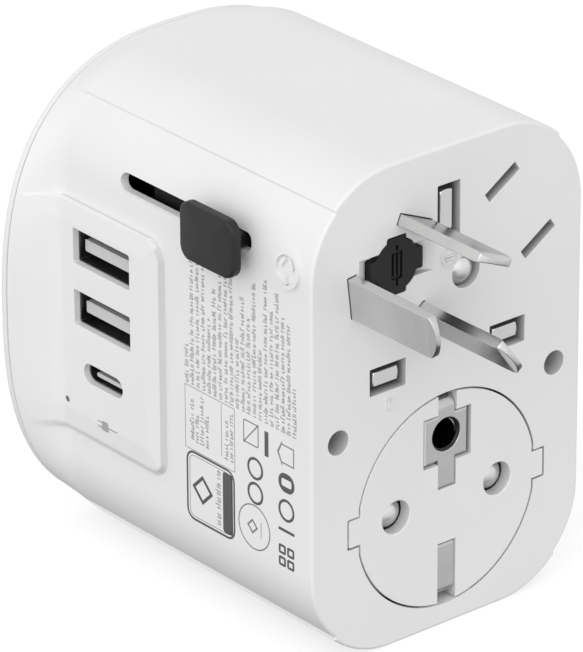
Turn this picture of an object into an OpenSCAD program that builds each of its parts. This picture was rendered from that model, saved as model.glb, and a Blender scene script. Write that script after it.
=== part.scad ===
// Universal travel adapter: four retractable plugs on one face, a universal
// socket on the other, and USB charging ports on one side.
//
// The part's frame: +Y towards the socket, +Z up, +X to the right of the pin
// face. The origin is under the middle of the adapter, on the surface it lies on.
// Everything below is drawn in the plug frame instead: x and z are measured from
// the centre of the round plug, and y is the depth behind the pin face.

/* [Body] */
// Width of the body at the pin face
body_w = 50.8; // [50.6:0.1:51.4]
// Height of the body
body_h = 74.9; // [74.6:0.1:75.6]
// Depth from the pin face to the back of the rear cover
body_d = 61.7; // [61.5:0.1:63]
// Radius of the corners of the pin face
corner_r = 15; // [14:0.25:15.5]
// Thickness of the housing walls
wall = 1.8; // [1.6:0.1:1.9]
// Thickness of the pin face
face_t = 2; // [1.9:0.1:2.2]
// Width across the flared rear rim
rear_w = 65; // [62:0.5:66]
// Exponent of the superellipse of the rear rim
rear_exp = 2.55; // [2.4:0.05:3]
// Depth at which the flare begins
flare_y = 55.8; // [54:0.2:56]
// Thickness of the rear cover's rim
cover_t = 1.5; // [1.3:0.1:1.8]
// Height of the raised pad around the charging ports
pad_rise = 0.9; // [0.6:0.1:1.1]

/* [Sliders] */
// Travel of the three blade sliders
slide_travel = 18.6; // [18.4:0.1:18.8]
// How far a plug stands out of the pin face when it is slid out
plug_reach = 17.8; // [16.5:0.1:18]
// Depth of a slider knob's centre when its plug is out
knob_y = 18.35; // [18:0.05:18.6]
// Length of a slider knob
knob_l = 12; // [10:0.5:12.5]
// Height of a slider knob
knob_h = 8.8; // [8:0.2:9]
// How far a knob presses in to unlock its slider
knob_press = 1.2; // [0.8:0.1:1.3]
// Travel of the round plug out of the pin face
cup_travel = 12; // [10:0.5:12]
// Travel of the round plug's pins out of its own face
pin_travel = 20.4; // [20:0.1:20.4]

/* [Plugs] */
// Height of the three-rectangle plug's lower row above the round plug
row_z = 22.45; // [22.3:0.05:22.6]
// Centre of the slanted-blade plug, sideways
slant_x = -9.44; // [-9.5:0.02:-9.38]
// Centre of the slanted-blade plug above the round plug
slant_z = 37.57; // [37.5:0.01:37.64]
// Turn of the slanted-blade plug
slant_turn = 36.6; // [36.3:0.1:36.9]
// Middle of the parallel-blade plug, sideways
parallel_x = 13.32; // [13.26:0.02:13.38]
// Middle of the parallel-blade plug above the round plug
parallel_z = 40.91; // [40.85:0.01:40.97]
// Turn of the parallel-blade plug
parallel_turn = 32.6; // [32.3:0.1:32.9]
// Centre of the fuse, sideways
fuse_x = -9.55; // [-9.6:0.01:-9.5]
// Centre of the fuse above the round plug
fuse_z = 39.2; // [39.15:0.01:39.25]

/* [Socket] */
// Height of the socket's main row of openings above the round plug
socket_z = 19.5; // [19.2:0.1:19.8]
// Travel of the safety shutter
shutter_travel = 8; // [7.8:0.1:8.2]

/* [Hidden] */
$fn = 64;

e = 0.01;                              // overlap that keeps a cut clean
fit = 0.1;                             // sliding clearance on each side

// The body
round_z = 20.07;                       // centre of the round plug above the surface the adapter lies on
mid_z = body_h / 2 - round_z;          // mid height of the body
side_x = body_w / 2;                   // outer face of the side walls
inner_x = side_x - wall;               // inner face of the side walls
cover_y = body_d - cover_t;            // parting line of the rear cover
total_d = body_d + plug_reach;
flare_steps = 96;                      // points around the flare

// Blades and pins of the four plugs
slant_centre = [slant_x, slant_z];
parallel_centre = [parallel_x, parallel_z];
slant_radius = 7.92;                   // slanted blades from the plug's centre
slant_earth_radius = 10.31;
slant_blade = [6.3, 1.6];
slant_tip_r = 5.2;                     // radius of the rounded blade tips
row_pitch = 22.2;                      // between the two lower pins, and up to the earth pin
row_pin = [6.35, 3.95];
row_earth = [4, 8];
row_sleeve_l = 9.5;
parallel_pitch = 12.7;
parallel_ground = 11.9;
parallel_blade = [6.3, 1.45];
parallel_pin_r = 2.4;
parallel_reach = 16.1;                 // the parallel blades stand out less than the other pins
round_pitch = 19;
round_pin_r = 2.4;
round_tip_y = 1.4;                     // depth of the retracted round pins' tips
round_earth_rise = 10;
round_earth_r = 2.6;                   // bore that takes an outlet's own earth pin
round_earth_y = [0.3, 1.2];            // depth of the earth contacts' front and back faces

// Slots around them
slant_slot = [6.5, 1.75];
row_slot = [6.6, 4.15];
row_earth_slot = [4.15, 8.6];
parallel_slot = [6.55, 1.65];
parallel_hole_r = 2.52;
round_hole_r = 2.53;

// The round plug's cup
cup_r = 16.5;
cup_flat_x = 16.1;
cup_ear = [36.4, 4.2];                 // across the two guide ears, and their height
cup_wall = 1.6;
cup_l = 21;
cup_guide_l = 8.8;                     // depth of the housing's guide sleeve

// Carriages, rails and knobs
block_y = 3;                           // front of a carriage when its plug is out
block_t = 6;
rail_x = [19.6, 22.6];
rail_floor = 0.35;                     // what is left behind the knob's neck
rail_y = [2.5, 37.5];                  // span of a rail when its plug is out
rail_h = 3.8;
back_y = block_y + slide_travel;       // front of a carriage when its plug is in
back_rail_y = rail_y + [slide_travel, slide_travel];
neck_l = 7;
neck_h = 2.4;
neck_x = rail_x[0] + rail_floor + 1.45; // inner end of a knob's neck
knob_x = [27.2, 29.1];                 // back and front of a knob's plate
slot_h = 2.8;
slot_y = [13.1, 42.4];
slant_rail_z = 42.3;
parallel_rail_z = 39.5;
round_knob_y = 44;                     // knob of the round plug, retracted
round_slot_y = [7.4, 47.8];
round_rail_y = [35.3, 57.5];

// The chassis
plate_y = [30.4, 32.2];
post_y = 12;
screw_x = 20.15;
screw_z = 15.1;
boss_r = 3.2;

// The charging ports
pad_x = -side_x - pad_rise;
pad_y = [32.5, 56.4];
pad_z = [-0.5, 35.5];
port_y = 45.5;
usb_a_z = [29.25, 19.55];
usb_c_z = 9.9;
usb_a_opening = [13, 5.5];             // openings in the housing
usb_c_opening = [9.1, 3.1];
usb_a_inside = [12.5, 5.1];            // insides of the port shells
usb_c_inside = [8.5, 2.6];
usb_a_tongue = [11.3, 1.85];
usb_c_tongue = [6, 0.65];
shell_t = 0.35;
shell_room = 2 * [shell_t + 0.05, shell_t + 0.05];
shell_setback = 1.1;                   // from the pad's face to the front of a port's shell
port_depth = 9.8;
light_pos = [54.1, 3.9];
light_r = 0.48;
board_y = 36.2;
board_t = 1.6;

// The fuse
fuse_centre = [fuse_x, fuse_z];
fuse_r = 2.6;
fuse_l = 20;
fuse_flange = 1.2;                     // thickness of the fuse cap's flange
fuse_y = 3.6;                          // front end of the fuse
fuse_tunnel_r = 2.85;
fuse_sleeve_r = 3.8;

// The socket
cover_pocket = [44, 52];
cover_pocket_z = 22;
cover_pocket_r = 20;
cover_pocket_depth = 1;
cover_inner_y = 58.7;                  // inner face of the cover behind the pocket
base_y = [41, 56.4];
base_x = 15.3;
base_floor = 1;
shutter_y = [56.7, 58.2];
spring_x = 12;
spring_z = [2.6, 15.3];                // foot and top of the shutter springs
spring_turns = 6;
spring_wire_r = 0.25;
spring_r = 0.77;
strip_t = 0.5;                         // brass strip

// ---- Frames and shared shapes ----

// Places children drawn in the plug frame into the part's frame
module in_plug_frame() translate([0, plug_reach - total_d / 2, round_z]) children();

// Extrudes an outline drawn as (x, z) from depth y0 to y1
module depth(y0, y1) translate([0, y1, 0]) rotate([90, 0, 0]) linear_extrude(y1 - y0) children();

// Extrudes an outline drawn as (y, z) from x0 to x1
module across(x0, x1) translate([x0, 0, 0]) rotate([90, 0, 90]) linear_extrude(x1 - x0) children();

// Extrudes an outline drawn as (x, y) from z0 to z1
module upright(z0, z1) translate([0, 0, z0]) linear_extrude(z1 - z0) children();

module box(x, y, z) translate([x[0], y[0], z[0]]) cube([x[1] - x[0], y[1] - y[0], z[1] - z[0]]);

module rounded(size, r) {
    square([size[0], size[1] - 2 * r], center = true);
    square([size[0] - 2 * r, size[1]], center = true);
    for (sx = [-1, 1], sz = [-1, 1]) translate([sx * (size[0] / 2 - r), sz * (size[1] / 2 - r)]) circle(r);
}

module span(y, z, r)
    translate([(y[0] + y[1]) / 2, (z[0] + z[1]) / 2]) rounded([y[1] - y[0], z[1] - z[0]], r);

// Distance from the middle to a rounded rectangle's edge, along a direction
function rect_edge(c, s, a, b, r) =
    let (k = c * (a - r) + s * (b - r), far = pow(a - r, 2) + pow(b - r, 2))
    c * b > 0 && a * s / max(c, 1e-9) <= b - r ? a / c
    : b * c / max(s, 1e-9) <= a - r ? b / s
    : k + sqrt(k * k - far + r * r);

// Distance from the middle to a superellipse's edge, along a direction
function rim_edge(c, s, a, b) = pow(pow(c / a, rear_exp) + pow(s / b, rear_exp), -1 / rear_exp);

// One closed ring of the flare: t runs from 0 at the body to 1 at the rim
function flare_ring(y, t, inset) = [
    for (i = [0:flare_steps - 1])
    let (turn = 360 * i / flare_steps,
         c = abs(cos(turn)),
         s = abs(sin(turn)),
         near = rect_edge(c, s, side_x, body_h / 2, corner_r),
         far = rim_edge(c, s, rear_w / 2, body_h / 2),
         r = near + (far - near) * t - inset)
    [r * cos(turn), y, mid_z + r * sin(turn)]
];

// The flared collar behind the straight walls, rooted inside them
module collar() {
    n = flare_steps;
    root = 1.2;
    sink = 0.5;
    rings = [
        flare_ring(flare_y - root, 0, sink), flare_ring(cover_y, 1, 0),
        flare_ring(cover_y, 1, wall), flare_ring(flare_y - root, 0, wall - sink)
    ];
    faces = [
        for (k = [0:3], i = [0:n - 1])
        let (j = (i + 1) % n, a = k * n, b = (k + 1) % 4 * n)
        each [[a + i, a + j, b + j], [a + i, b + j, b + i]]
    ];
    polyhedron([for (ring = rings) each ring], faces);
}

function rim_outline(inset) = [
    for (i = [0:flare_steps - 1])
    let (turn = 360 * i / flare_steps,
         r = rim_edge(abs(cos(turn)), abs(sin(turn)), rear_w / 2 - inset, body_h / 2 - inset))
    [r * cos(turn), mid_z + r * sin(turn)]
];

// Round bar along y with a domed front end
module round_pin(r, y0, y1) {
    dome = 1.6 * r;
    intersection() {
        translate([0, y1, 0]) rotate([90, 0, 0]) cylinder(r = r, h = y1 - y0);
        union() {
            translate([0, y0 + dome, 0]) sphere(dome);
            box([-r, r], [y0 + dome, y1 + e], [-r, r]);
        }
    }
}

// Flat blade along y with an arc at its tip, its width along x
module blade(size, tip_r, y0, y1) {
    upright(-size[1] / 2, size[1] / 2) intersection() {
        translate([-size[0] / 2, y0]) square([size[0], y1 - y0]);
        union() {
            translate([0, y0 + tip_r]) circle(tip_r);
            translate([-size[0] / 2, y0 + tip_r]) square([size[0], y1 - y0 - tip_r]);
        }
    }
}

// Rectangular pin along y with a tapered front end
module tapered_pin(size, y0, y1) {
    taper = 1.6;
    trim = 0.8;
    intersection() {
        box([-size[0] / 2, size[0] / 2], [y0, y1], [-size[1] / 2, size[1] / 2]);
        across(-size[0] / 2, size[0] / 2) polygon([
            [y0, trim - size[1] / 2], [y0 + taper, -size[1] / 2], [y1, -size[1] / 2],
            [y1, size[1] / 2], [y0 + taper, size[1] / 2], [y0, size[1] / 2 - trim]
        ]);
        upright(-size[1] / 2, size[1] / 2) polygon([
            [trim - size[0] / 2, y0], [-size[0] / 2, y0 + taper], [-size[0] / 2, y1],
            [size[0] / 2, y1], [size[0] / 2, y0 + taper], [size[0] / 2 - trim, y0]
        ]);
    }
}

// ---- Where each plug's blades are, as outlines or placements in (x, z) ----

module at_slant(angle, radius)
    translate(slant_centre) rotate(slant_turn + angle) translate([radius, 0]) children();
module at_slant_live() at_slant(150, slant_radius) rotate(90) children();
module at_slant_neutral() at_slant(30, slant_radius) rotate(90) children();
module at_slant_earth() at_slant(-90, slant_earth_radius) children();
module at_parallel(x, y) translate(parallel_centre) rotate(parallel_turn) translate([x, y]) children();

// The same placements for solids
module stand_at(p, angle) translate([p[0], 0, p[1]]) rotate([0, -angle, 0]) children();
function polar(centre, angle, radius) = centre + radius * [cos(angle), sin(angle)];
slant_live_pos = polar(slant_centre, slant_turn + 150, slant_radius);
slant_neutral_pos = polar(slant_centre, slant_turn + 30, slant_radius);
slant_earth_pos = polar(slant_centre, slant_turn - 90, slant_earth_radius);
parallel_live_pos = polar(parallel_centre, parallel_turn + 90, parallel_pitch / 2);
parallel_neutral_pos = polar(parallel_centre, parallel_turn - 90, parallel_pitch / 2);
parallel_ground_pos = polar(parallel_centre, parallel_turn + 180, parallel_ground);

module face_openings() {
    at_slant_live() square(slant_slot, center = true);
    at_slant_neutral() square(slant_slot, center = true);
    at_slant_earth() square(slant_slot, center = true);
    for (side = [-1, 1]) translate([side * row_pitch / 2, row_z]) square(row_slot, center = true);
    translate([0, row_z + row_pitch]) square(row_earth_slot, center = true);
    for (side = [-1, 1]) at_parallel(0, side * parallel_pitch / 2) square(parallel_slot, center = true);
    at_parallel(-parallel_ground, 0) circle(parallel_hole_r);
    cup_outline(fit);
    for (side = [-1, 1]) translate([side * screw_x, screw_z]) circle(1.85);
}

// Outline of the round plug's cup
module cup_outline(gap) {
    intersection() {
        circle(cup_r + gap);
        square([2 * (cup_flat_x + gap), 3 * cup_r], center = true);
    }
    square([cup_ear[0] + 2 * gap, cup_ear[1] + 2 * gap], center = true);
}

// Outline of the fuse cap: a disc with four stubby arms
module fuse_outline(gap) {
    circle(4.05 + gap);
    square([9.7 + 2 * gap, 3.4 + 2 * gap], center = true);
    square([3.5 + 2 * gap, 8.8 + 2 * gap], center = true);
}

// ---- Casing ----

module main_housing() color("whitesmoke") {
    difference() {
        union() {
            depth(0, flare_y) translate([0, mid_z]) rounded([body_w, body_h], corner_r);
            across(pad_x, -inner_x) span(pad_y, pad_z, 3);
        }
        depth(face_t, body_d) translate([0, mid_z])
            rounded([body_w - 2 * wall, body_h - 2 * wall], corner_r - wall);
        depth(-1, face_t + 1) face_openings();
        translate([fuse_centre[0], 0, fuse_centre[1]]) {
            depth(-1, fuse_flange + fit / 2) fuse_outline(fit / 2);
            depth(0, face_t + 1) circle(fuse_tunnel_r);
        }
        finger_notches();
        slider_slots();
        port_openings();
    }
    collar();
    guide_sleeve();
    fuse_sleeve();
    screw_bosses();
}

// Two sloped pockets that let a fingernail reach behind the fuse cap
module finger_notches() {
    reach = 6.8;
    sink = 1.1;
    for (side = [-1, 1])
        translate([fuse_centre[0], 0, fuse_centre[1] - 2.6]) mirror([side < 0 ? 1 : 0, 0, 0])
            upright(0, 5.2) polygon([[reach, -e], [3.5, -e], [3.5, sink], [4.9, sink]]);
}

module slider_slot(side, y, z) {
    x0 = side > 0 ? inner_x - 1 : -side_x - 1;
    across(x0, x0 + wall + 2) span(y, [z - slot_h / 2, z + slot_h / 2], slot_h / 2 - e);
}

module slider_slots() {
    slider_slot(-1, slot_y, slant_rail_z);
    slider_slot(1, slot_y, parallel_rail_z);
    slider_slot(1, slot_y, row_z);
    slider_slot(1, round_slot_y, 0);
}

module port_openings() {
    across(pad_x - 1, 1 - inner_x) {
        for (z = usb_a_z) translate([port_y, z]) rounded(usb_a_opening, 0.3);
        translate([port_y, usb_c_z]) rounded(usb_c_opening, usb_c_opening[1] / 2 - e);
        translate(light_pos) circle(light_r);
    }
    // The shells sit in wider pockets behind the openings
    across(pad_x + shell_setback - 0.05, 1 - inner_x) {
        for (z = usb_a_z) translate([port_y, z]) rounded(usb_a_inside + shell_room, 0.65);
        translate([port_y, usb_c_z]) rounded(usb_c_inside + shell_room, usb_c_inside[1] / 2 + shell_t);
    }
}

// Sleeve that guides the round plug's cup
module guide_sleeve() {
    depth(face_t - e, cup_guide_l) difference() {
        union() {
            circle(cup_r + 1.7);
            square([cup_ear[0] + 2.6, cup_ear[1] + 3], center = true);
        }
        cup_outline(fit);
    }
}

// Tunnel that the fuse slides into
module fuse_sleeve() {
    depth(face_t - 0.1, fuse_y + fuse_l + 1.4) translate(fuse_centre) difference() {
        circle(fuse_sleeve_r);
        circle(fuse_tunnel_r);
    }
}

module screw_bosses() {
    for (side = [-1, 1]) translate([side * screw_x, 0, screw_z]) {
        depth(face_t - e, post_y - 2) difference() {
            circle(boss_r);
            circle(1.85);
        }
        depth(post_y - 2, post_y) difference() {
            circle(boss_r);
            circle(1.2);
        }
    }
}

module rear_cover() color("whitesmoke") difference() {
    union() {
        depth(cover_y, body_d) polygon(rim_outline(0));
        depth(cover_inner_y, cover_y + e) translate([0, cover_pocket_z])
            rounded(cover_pocket + [3, 3], cover_pocket_r + 1.5);
        depth(cover_inner_y, cover_y + e) difference() {
            polygon(rim_outline(4.6));
            polygon(rim_outline(6));
        }
    }
    depth(body_d - cover_pocket_depth, body_d + 1) translate([0, cover_pocket_z])
        rounded(cover_pocket, cover_pocket_r);
    depth(cover_inner_y - 1, body_d) translate([0, socket_z]) socket_openings();
}

// Openings that take every plug type, around the middle of the socket's main row
module socket_openings() {
    for (side = [-1, 1]) mirror([side < 0 ? 1 : 0, 0]) {
        translate([round_pitch / 2, 0]) circle(2.55);
        translate([row_pitch / 2, 0]) square([6.8, 4.3], center = true);
        translate([parallel_pitch / 2, 0]) square([2, 7.2], center = true);
        translate([slant_radius * cos(30), 0]) rotate(120) square([7, 2], center = true);
    }
    translate([0, row_pitch]) square([4.3, 8.4], center = true);
    translate([0, parallel_ground]) circle(2.55);
    translate([0, slant_radius * -sin(30) - slant_earth_radius]) square([2, 7.2], center = true);
}

// Inner frame: a cross plate with front and rear posts
module chassis() color("dimgray") difference() {
    union() {
        depth(plate_y[0], plate_y[1]) translate([0, mid_z])
            rounded([2 * inner_x - 0.6, body_h - 2 * wall - 0.6], corner_r - wall - 0.3);
        for (side = [-1, 1]) depth(post_y, plate_y[0] + e) translate([side * screw_x, screw_z]) circle(2.6);
        for (side = [-1, 1], post = [[18.3, -7.5], [18, 47]])
            depth(plate_y[1] - e, cover_inner_y - 0.1) translate([side * post[0], post[1]]) circle(2.2);
        liner(-1, slant_rail_z);
        liner(1, parallel_rail_z);
        liner(1, row_z);
    }
    depth(plate_y[0] - 1, plate_y[1] + 1) {
        translate([-rail_x[0] - 5.6, slant_rail_z - 2.2]) square([6, 4.4]);
        translate([rail_x[0] - 0.4, parallel_rail_z - 2.2]) square([6, 4.4]);
        translate([rail_x[0] - 0.4, row_z - 2.2]) square([6, 4.4]);
        translate([2.4, -3.4]) square([24, 5.6]);
        for (p = [[6, 12], [-8, 12], [0, 44]]) translate(p) square([3.4, 2.2], center = true);
    }
    for (side = [-1, 1])
        translate([side * screw_x, 0, screw_z]) depth(post_y - 1, plate_y[0] - 2) circle(0.9);
}

// A strip behind a slider's slot, so that the slot doesn't show the inside
module liner(side, z) mirror([side < 0 ? 1 : 0, 0, 0])
    box([rail_x[0] - 1.2, rail_x[0] - 0.4], [plate_y[1] - e, 57.8], [z - 2.6, z + 2.6]);

// Two screws that hold the housing to the chassis
module case_screws() color("silver") for (side = [-1, 1]) translate([side * screw_x, 0, screw_z]) {
    difference() {
        depth(post_y - 3.6, post_y - 2) circle(1.7);
        depth(post_y - 4, post_y - 2.8) for (turn = [0, 90]) rotate(turn) square([2.2, 0.5], center = true);
    }
    depth(post_y - 2 - e, plate_y[0] - 6) circle(0.88);
}

// ---- Sliders ----

// A rail along the inside of a side wall, with a socket for the knob's neck
module rail(side, y, z, neck_y) color("black") mirror([side < 0 ? 1 : 0, 0, 0]) difference() {
    box(rail_x, y, [z - rail_h / 2, z + rail_h / 2]);
    across(rail_x[0] + rail_floor, rail_x[1] + 1)
        translate([neck_y, z]) rounded([neck_l + 2 * fit, neck_h + 2 * fit], 0.6);
}

// A knob: a crowned rounded plate outside the wall, on a neck through the slot
module knob(side, y, z) color("#303030") mirror([side < 0 ? 1 : 0, 0, 0]) {
    crown_r = 40;
    intersection() {
        across(knob_x[0], knob_x[1]) translate([y, z]) rounded([knob_l, knob_h], 2);
        translate([knob_x[1] - crown_r, y, z - knob_h]) cylinder(r = crown_r, h = 2 * knob_h, $fn = 720);
    }
    across(neck_x, knob_x[0] + e) translate([y, z]) rounded([neck_l, neck_h], 0.6);
}

// Carriage of the slanted-blade plug, around the fuse sleeve
module slant_carriage() color("gainsboro") depth(block_y, block_y + block_t) difference() {
    union() {
        translate(fuse_centre) circle(6.2);
        at_slant_live() square([8.2, 3.6], center = true);
        at_slant_neutral() square([7.6, 3], center = true);
        at_slant_earth() square([7.4, 3.4], center = true);
        translate(fuse_centre) rotate(-57.7) translate([4.4, -2.5]) square([7, 5]);
        translate([-rail_x[0], slant_rail_z - 1.7]) square([9, 3.4]);
    }
    translate(fuse_centre) circle(fuse_sleeve_r + 0.4);
    translate([-0.6, 20]) square([6, 12]);
    translate([-2.6, 31]) square([6, 20]);
    translate([-12, 20]) square([14, 5]);
    at_slant_earth() translate([-8, slant_blade[1] / 2 + 0.4]) square([14, 4]);
    at_slant_live() square(slant_blade, center = true);
    at_slant_neutral() square(slant_blade, center = true);
    at_slant_earth() square(slant_blade, center = true);
}

module slant_blade_at(p, angle) color("silver") stand_at(p, angle)
    blade(slant_blade, slant_tip_r, -plug_reach, block_y + block_t - 1);
module slant_live_blade() slant_blade_at(slant_live_pos, slant_turn + 150 + 90);
module slant_neutral_blade() slant_blade_at(slant_neutral_pos, slant_turn + 30 + 90);
module slant_earth_blade() slant_blade_at(slant_earth_pos, slant_turn - 90);
module slant_rail() rail(-1, rail_y, slant_rail_z, knob_y);
module slant_knob() knob(-1, knob_y, slant_rail_z);

// Carriage of the plug with three rectangular pins: a bar and a narrow spine
module row_carriage() color("gainsboro") depth(back_y, back_y + block_t) difference() {
    polygon([
        [-14.9, 20.2], [rail_x[0], 20.2], [rail_x[0], 24.6], [2.3, 24.6], [2.3, 30.6],
        [0.5, 32.3], [0.5, 38.6], [2.2, 40], [2.2, 49.4], [-2.2, 49.4],
        [-2.2, 30.4], [-0.25, 27.7], [-0.25, 24.6], [-14.9, 24.6]
    ]);
    for (side = [-1, 1]) translate([side * row_pitch / 2, row_z]) square(row_pin - [1, 1], center = true);
    translate([0, row_z + row_pitch]) square(row_earth - [1, 1], center = true);
}

// A lower pin is full size in front and necked down inside its sleeve
module row_pin_at(side) color("silver") translate([side * row_pitch / 2, 0, row_z]) {
    tip_y = slide_travel - plug_reach;
    neck_y = back_y - row_sleeve_l;
    tapered_pin(row_pin, tip_y, neck_y);
    depth(neck_y - e, back_y + block_t - 1) square(row_pin - [1, 1], center = true);
}
module row_live_pin() row_pin_at(1);
module row_neutral_pin() row_pin_at(-1);
module row_earth_pin() color("silver") translate([0, 0, row_z + row_pitch]) {
    tapered_pin(row_earth, slide_travel - plug_reach, back_y);
    depth(back_y - e, back_y + block_t - 1) square(row_earth - [1, 1], center = true);
}
module row_pin_sleeves() color("#202020") for (side = [-1, 1]) translate([side * row_pitch / 2, 0, row_z])
    depth(back_y - row_sleeve_l, back_y) difference() {
        square(row_pin, center = true);
        square(row_pin - [1, 1], center = true);
    }
module row_rail() rail(1, back_rail_y, row_z, knob_y + slide_travel);
module row_knob() knob(1, knob_y + slide_travel, row_z);

// Carriage of the plug with two parallel blades and a round ground pin
module parallel_carriage() color("gainsboro")
    depth(back_y, back_y + block_t) difference() {
        union() {
            at_parallel(0, 0) square([8.4, 16.6], center = true);
            at_parallel(-parallel_ground, -2.6) square([9, 5.2]);
            at_parallel(-parallel_ground, 0) circle(3.15);
            translate([rail_x[0] - 8, parallel_rail_z - 1.7]) square([8, 3.4]);
        }
        translate([rail_x[0], 30]) square([5, 20]);
        translate([0.85 - 6, 28]) square([6, 12]);
        translate([2.6 - 6, 38.2]) square([6, 14]);
        for (side = [-1, 1]) at_parallel(0, side * parallel_pitch / 2) square(parallel_blade, center = true);
        at_parallel(-parallel_ground, 0) circle(parallel_pin_r - 0.5);
    }

module parallel_blade_at(p) color("silver") stand_at(p, parallel_turn)
    blade(parallel_blade, 8, slide_travel - parallel_reach, back_y + block_t - 1);
module parallel_live_blade() parallel_blade_at(parallel_live_pos);
module parallel_neutral_blade() parallel_blade_at(parallel_neutral_pos);
module parallel_ground_pin() color("silver") stand_at(parallel_ground_pos, 0) {
    round_pin(parallel_pin_r, slide_travel - plug_reach - 0.2, back_y);
    depth(back_y - e, back_y + block_t - 1) circle(parallel_pin_r - 0.5);
}
module parallel_rail() rail(1, back_rail_y, parallel_rail_z, knob_y + slide_travel);
module parallel_knob() knob(1, knob_y + slide_travel, parallel_rail_z);

// ---- Round plug ----

// Window in the cup's face for the upper earth contact, a cross that runs out to the rim
module earth_window(gap) {
    translate([0, 9.6]) square([8.9 - 2 * gap, 7.8 - 2 * gap], center = true);
    translate([gap - 1.7, 1.7 + gap]) square([3.4 - 2 * gap, 16]);
}
module clip_window(gap) translate([gap - 1.7, -18]) square([3.4 - 2 * gap, 11.1 - gap]);

module round_plug_cup() color("whitesmoke") difference() {
    depth(0, cup_l) cup_outline(0);
    depth(face_t, cup_l + 1) intersection() {
        circle(cup_r - cup_wall);
        square([2 * (cup_flat_x - cup_wall), 3 * cup_r], center = true);
    }
    depth(-1, face_t + 1) {
        for (side = [-1, 1]) translate([side * round_pitch / 2, 0]) circle(round_hole_r);
        earth_window(0);
        clip_window(0);
    }
    box([-1.7, 1.7], [-1, 10.2], [cup_r - 3, cup_r + 1]);
    box([-1.7, 1.7], [-1, 10.2], [-cup_r - 1, 3 - cup_r]);
}

// Upper earth contact: a plate with a bore for an outlet's own earth pin, and a clip over the rim
module round_earth_socket() color("silver") {
    difference() {
        union() {
            depth(round_earth_y[0], round_earth_y[1]) intersection() {
                earth_window(0.2);
                circle(cup_r - 0.6);
            }
            depth(round_earth_y[1] - e, 8) translate([0, round_earth_rise]) circle(3.4);
            box([-1.5, 1.5], [round_earth_y[0], 10], [cup_r - 1.5, cup_r - 0.6]);
        }
        depth(0, 9) translate([0, round_earth_rise]) circle(round_earth_r);
    }
}

// Lower earth contact: a strip in the face that turns back over the rim
module round_earth_clip() color("silver") {
    depth(round_earth_y[0], round_earth_y[1]) intersection() {
        clip_window(0.2);
        circle(cup_r - 0.6);
    }
    box([-1.5, 1.5], [round_earth_y[0], 10], [0.6 - cup_r, 1.5 - cup_r]);
    box([-1.5, 1.5], [round_earth_y[1] - e, 4], [-8.1, -7.2]);
}

// Bar that carries the round pins, with a spine and an arm back to the knob's rail
module round_pin_carriage() color("gainsboro") difference() {
    union() {
        box([-12.4, 12.4], [23, 27], [-3, 3]);
        box([3, 7], [27 - e, 46], [-3, 0]);
        box([7 - e, rail_x[0]], [42.3, 46], [-3, 0]);
    }
    for (side = [-1, 1]) depth(22, 26) translate([side * round_pitch / 2, 0]) circle(round_pin_r - 0.5);
}
module round_pin_at(side) color("silver") translate([side * round_pitch / 2, 0, 0]) {
    round_pin(round_pin_r, round_tip_y, 23);
    depth(23 - e, 26) circle(round_pin_r - 0.5);
}
module round_live_pin() round_pin_at(1);
module round_neutral_pin() round_pin_at(-1);
module round_rail() rail(1, round_rail_y, 0, round_knob_y);
module round_knob() knob(1, round_knob_y, 0);

// ---- Fuse ----

module fuse_cap() color("#303030") translate([fuse_centre[0], 0, fuse_centre[1]]) {
    depth(0, fuse_flange) fuse_outline(0);
    depth(fuse_flange - e, fuse_y) circle(fuse_r);
}
module fuse_tube() color("ivory") translate([fuse_centre[0], 0, fuse_centre[1]])
    depth(fuse_y + 0.4, fuse_y + fuse_l - 0.4) circle(fuse_r - 0.25);
module fuse_end_caps() color("silver") translate([fuse_centre[0], 0, fuse_centre[1]]) {
    for (y = [fuse_y, fuse_y + fuse_l - 5]) difference() {
        depth(y, y + 5) circle(fuse_r);
        depth(fuse_y + 0.4, fuse_y + fuse_l - 0.4) circle(fuse_r - 0.25);
    }
}
// Spring contact behind the fuse: a shallow bow on a flat foot
module fuse_contact() color("goldenrod") translate([fuse_centre[0], 0, fuse_centre[1]]) {
    foot_y = plate_y[0] - strip_t;
    depth(foot_y, plate_y[0]) square([4, 9], center = true);
    box([-1.5, 1.5], [fuse_y + fuse_l + 0.1, foot_y + e], [-2.4, -1.9]);
    box([-1.5, 1.5], [fuse_y + fuse_l + 0.1, fuse_y + fuse_l + 0.6], [-2.4, 2.4]);
}

// ---- Universal socket ----

module socket_base() color("#303030") difference() {
    union() {
        depth(base_y[0], base_y[1]) translate([0, 24.5]) rounded([2 * base_x, 47.5], 4);
        for (x = [-spring_x, spring_x]) box([x - 1.8, x + 1.8], [base_y[1] - e, 58.4], [1.4, 2.5]);
    }
    depth(base_y[0] + base_floor, base_y[1] + 1) translate([0, socket_z]) {
        for (side = [-1, 1]) translate([side * 9.6, 0]) square([9.8, 9.2], center = true);
        translate([-3.6, 8]) square([7.2, 20]);
        translate([-2.3, -18.2]) square([4.6, 30]);
    }
    depth(base_y[0] - 1, base_y[1]) {
        for (side = [-1, 1]) translate([side * 9.6, socket_z]) square([3.2, 0.7], center = true);
        translate([0, socket_z + 24]) square([3.2, 0.7], center = true);
    }
}

// A brass channel around one side's pins, with a tail through the base
module line_contact(side) color("goldenrod") translate([side * 9.6, 0, socket_z]) {
    floor_y = base_y[0] + base_floor;
    box([-4.7, 4.7], [floor_y, floor_y + strip_t], [-4.3, 4.3]);
    for (z = [-4.3, 4.3 - strip_t]) box([-4.7, 4.7], [floor_y, 54], [z, z + strip_t]);
    box([-1.5, 1.5], [33.1, floor_y + e], [-0.25, 0.25]);
}
module contact_live() line_contact(1);
module contact_neutral() line_contact(-1);

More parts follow.
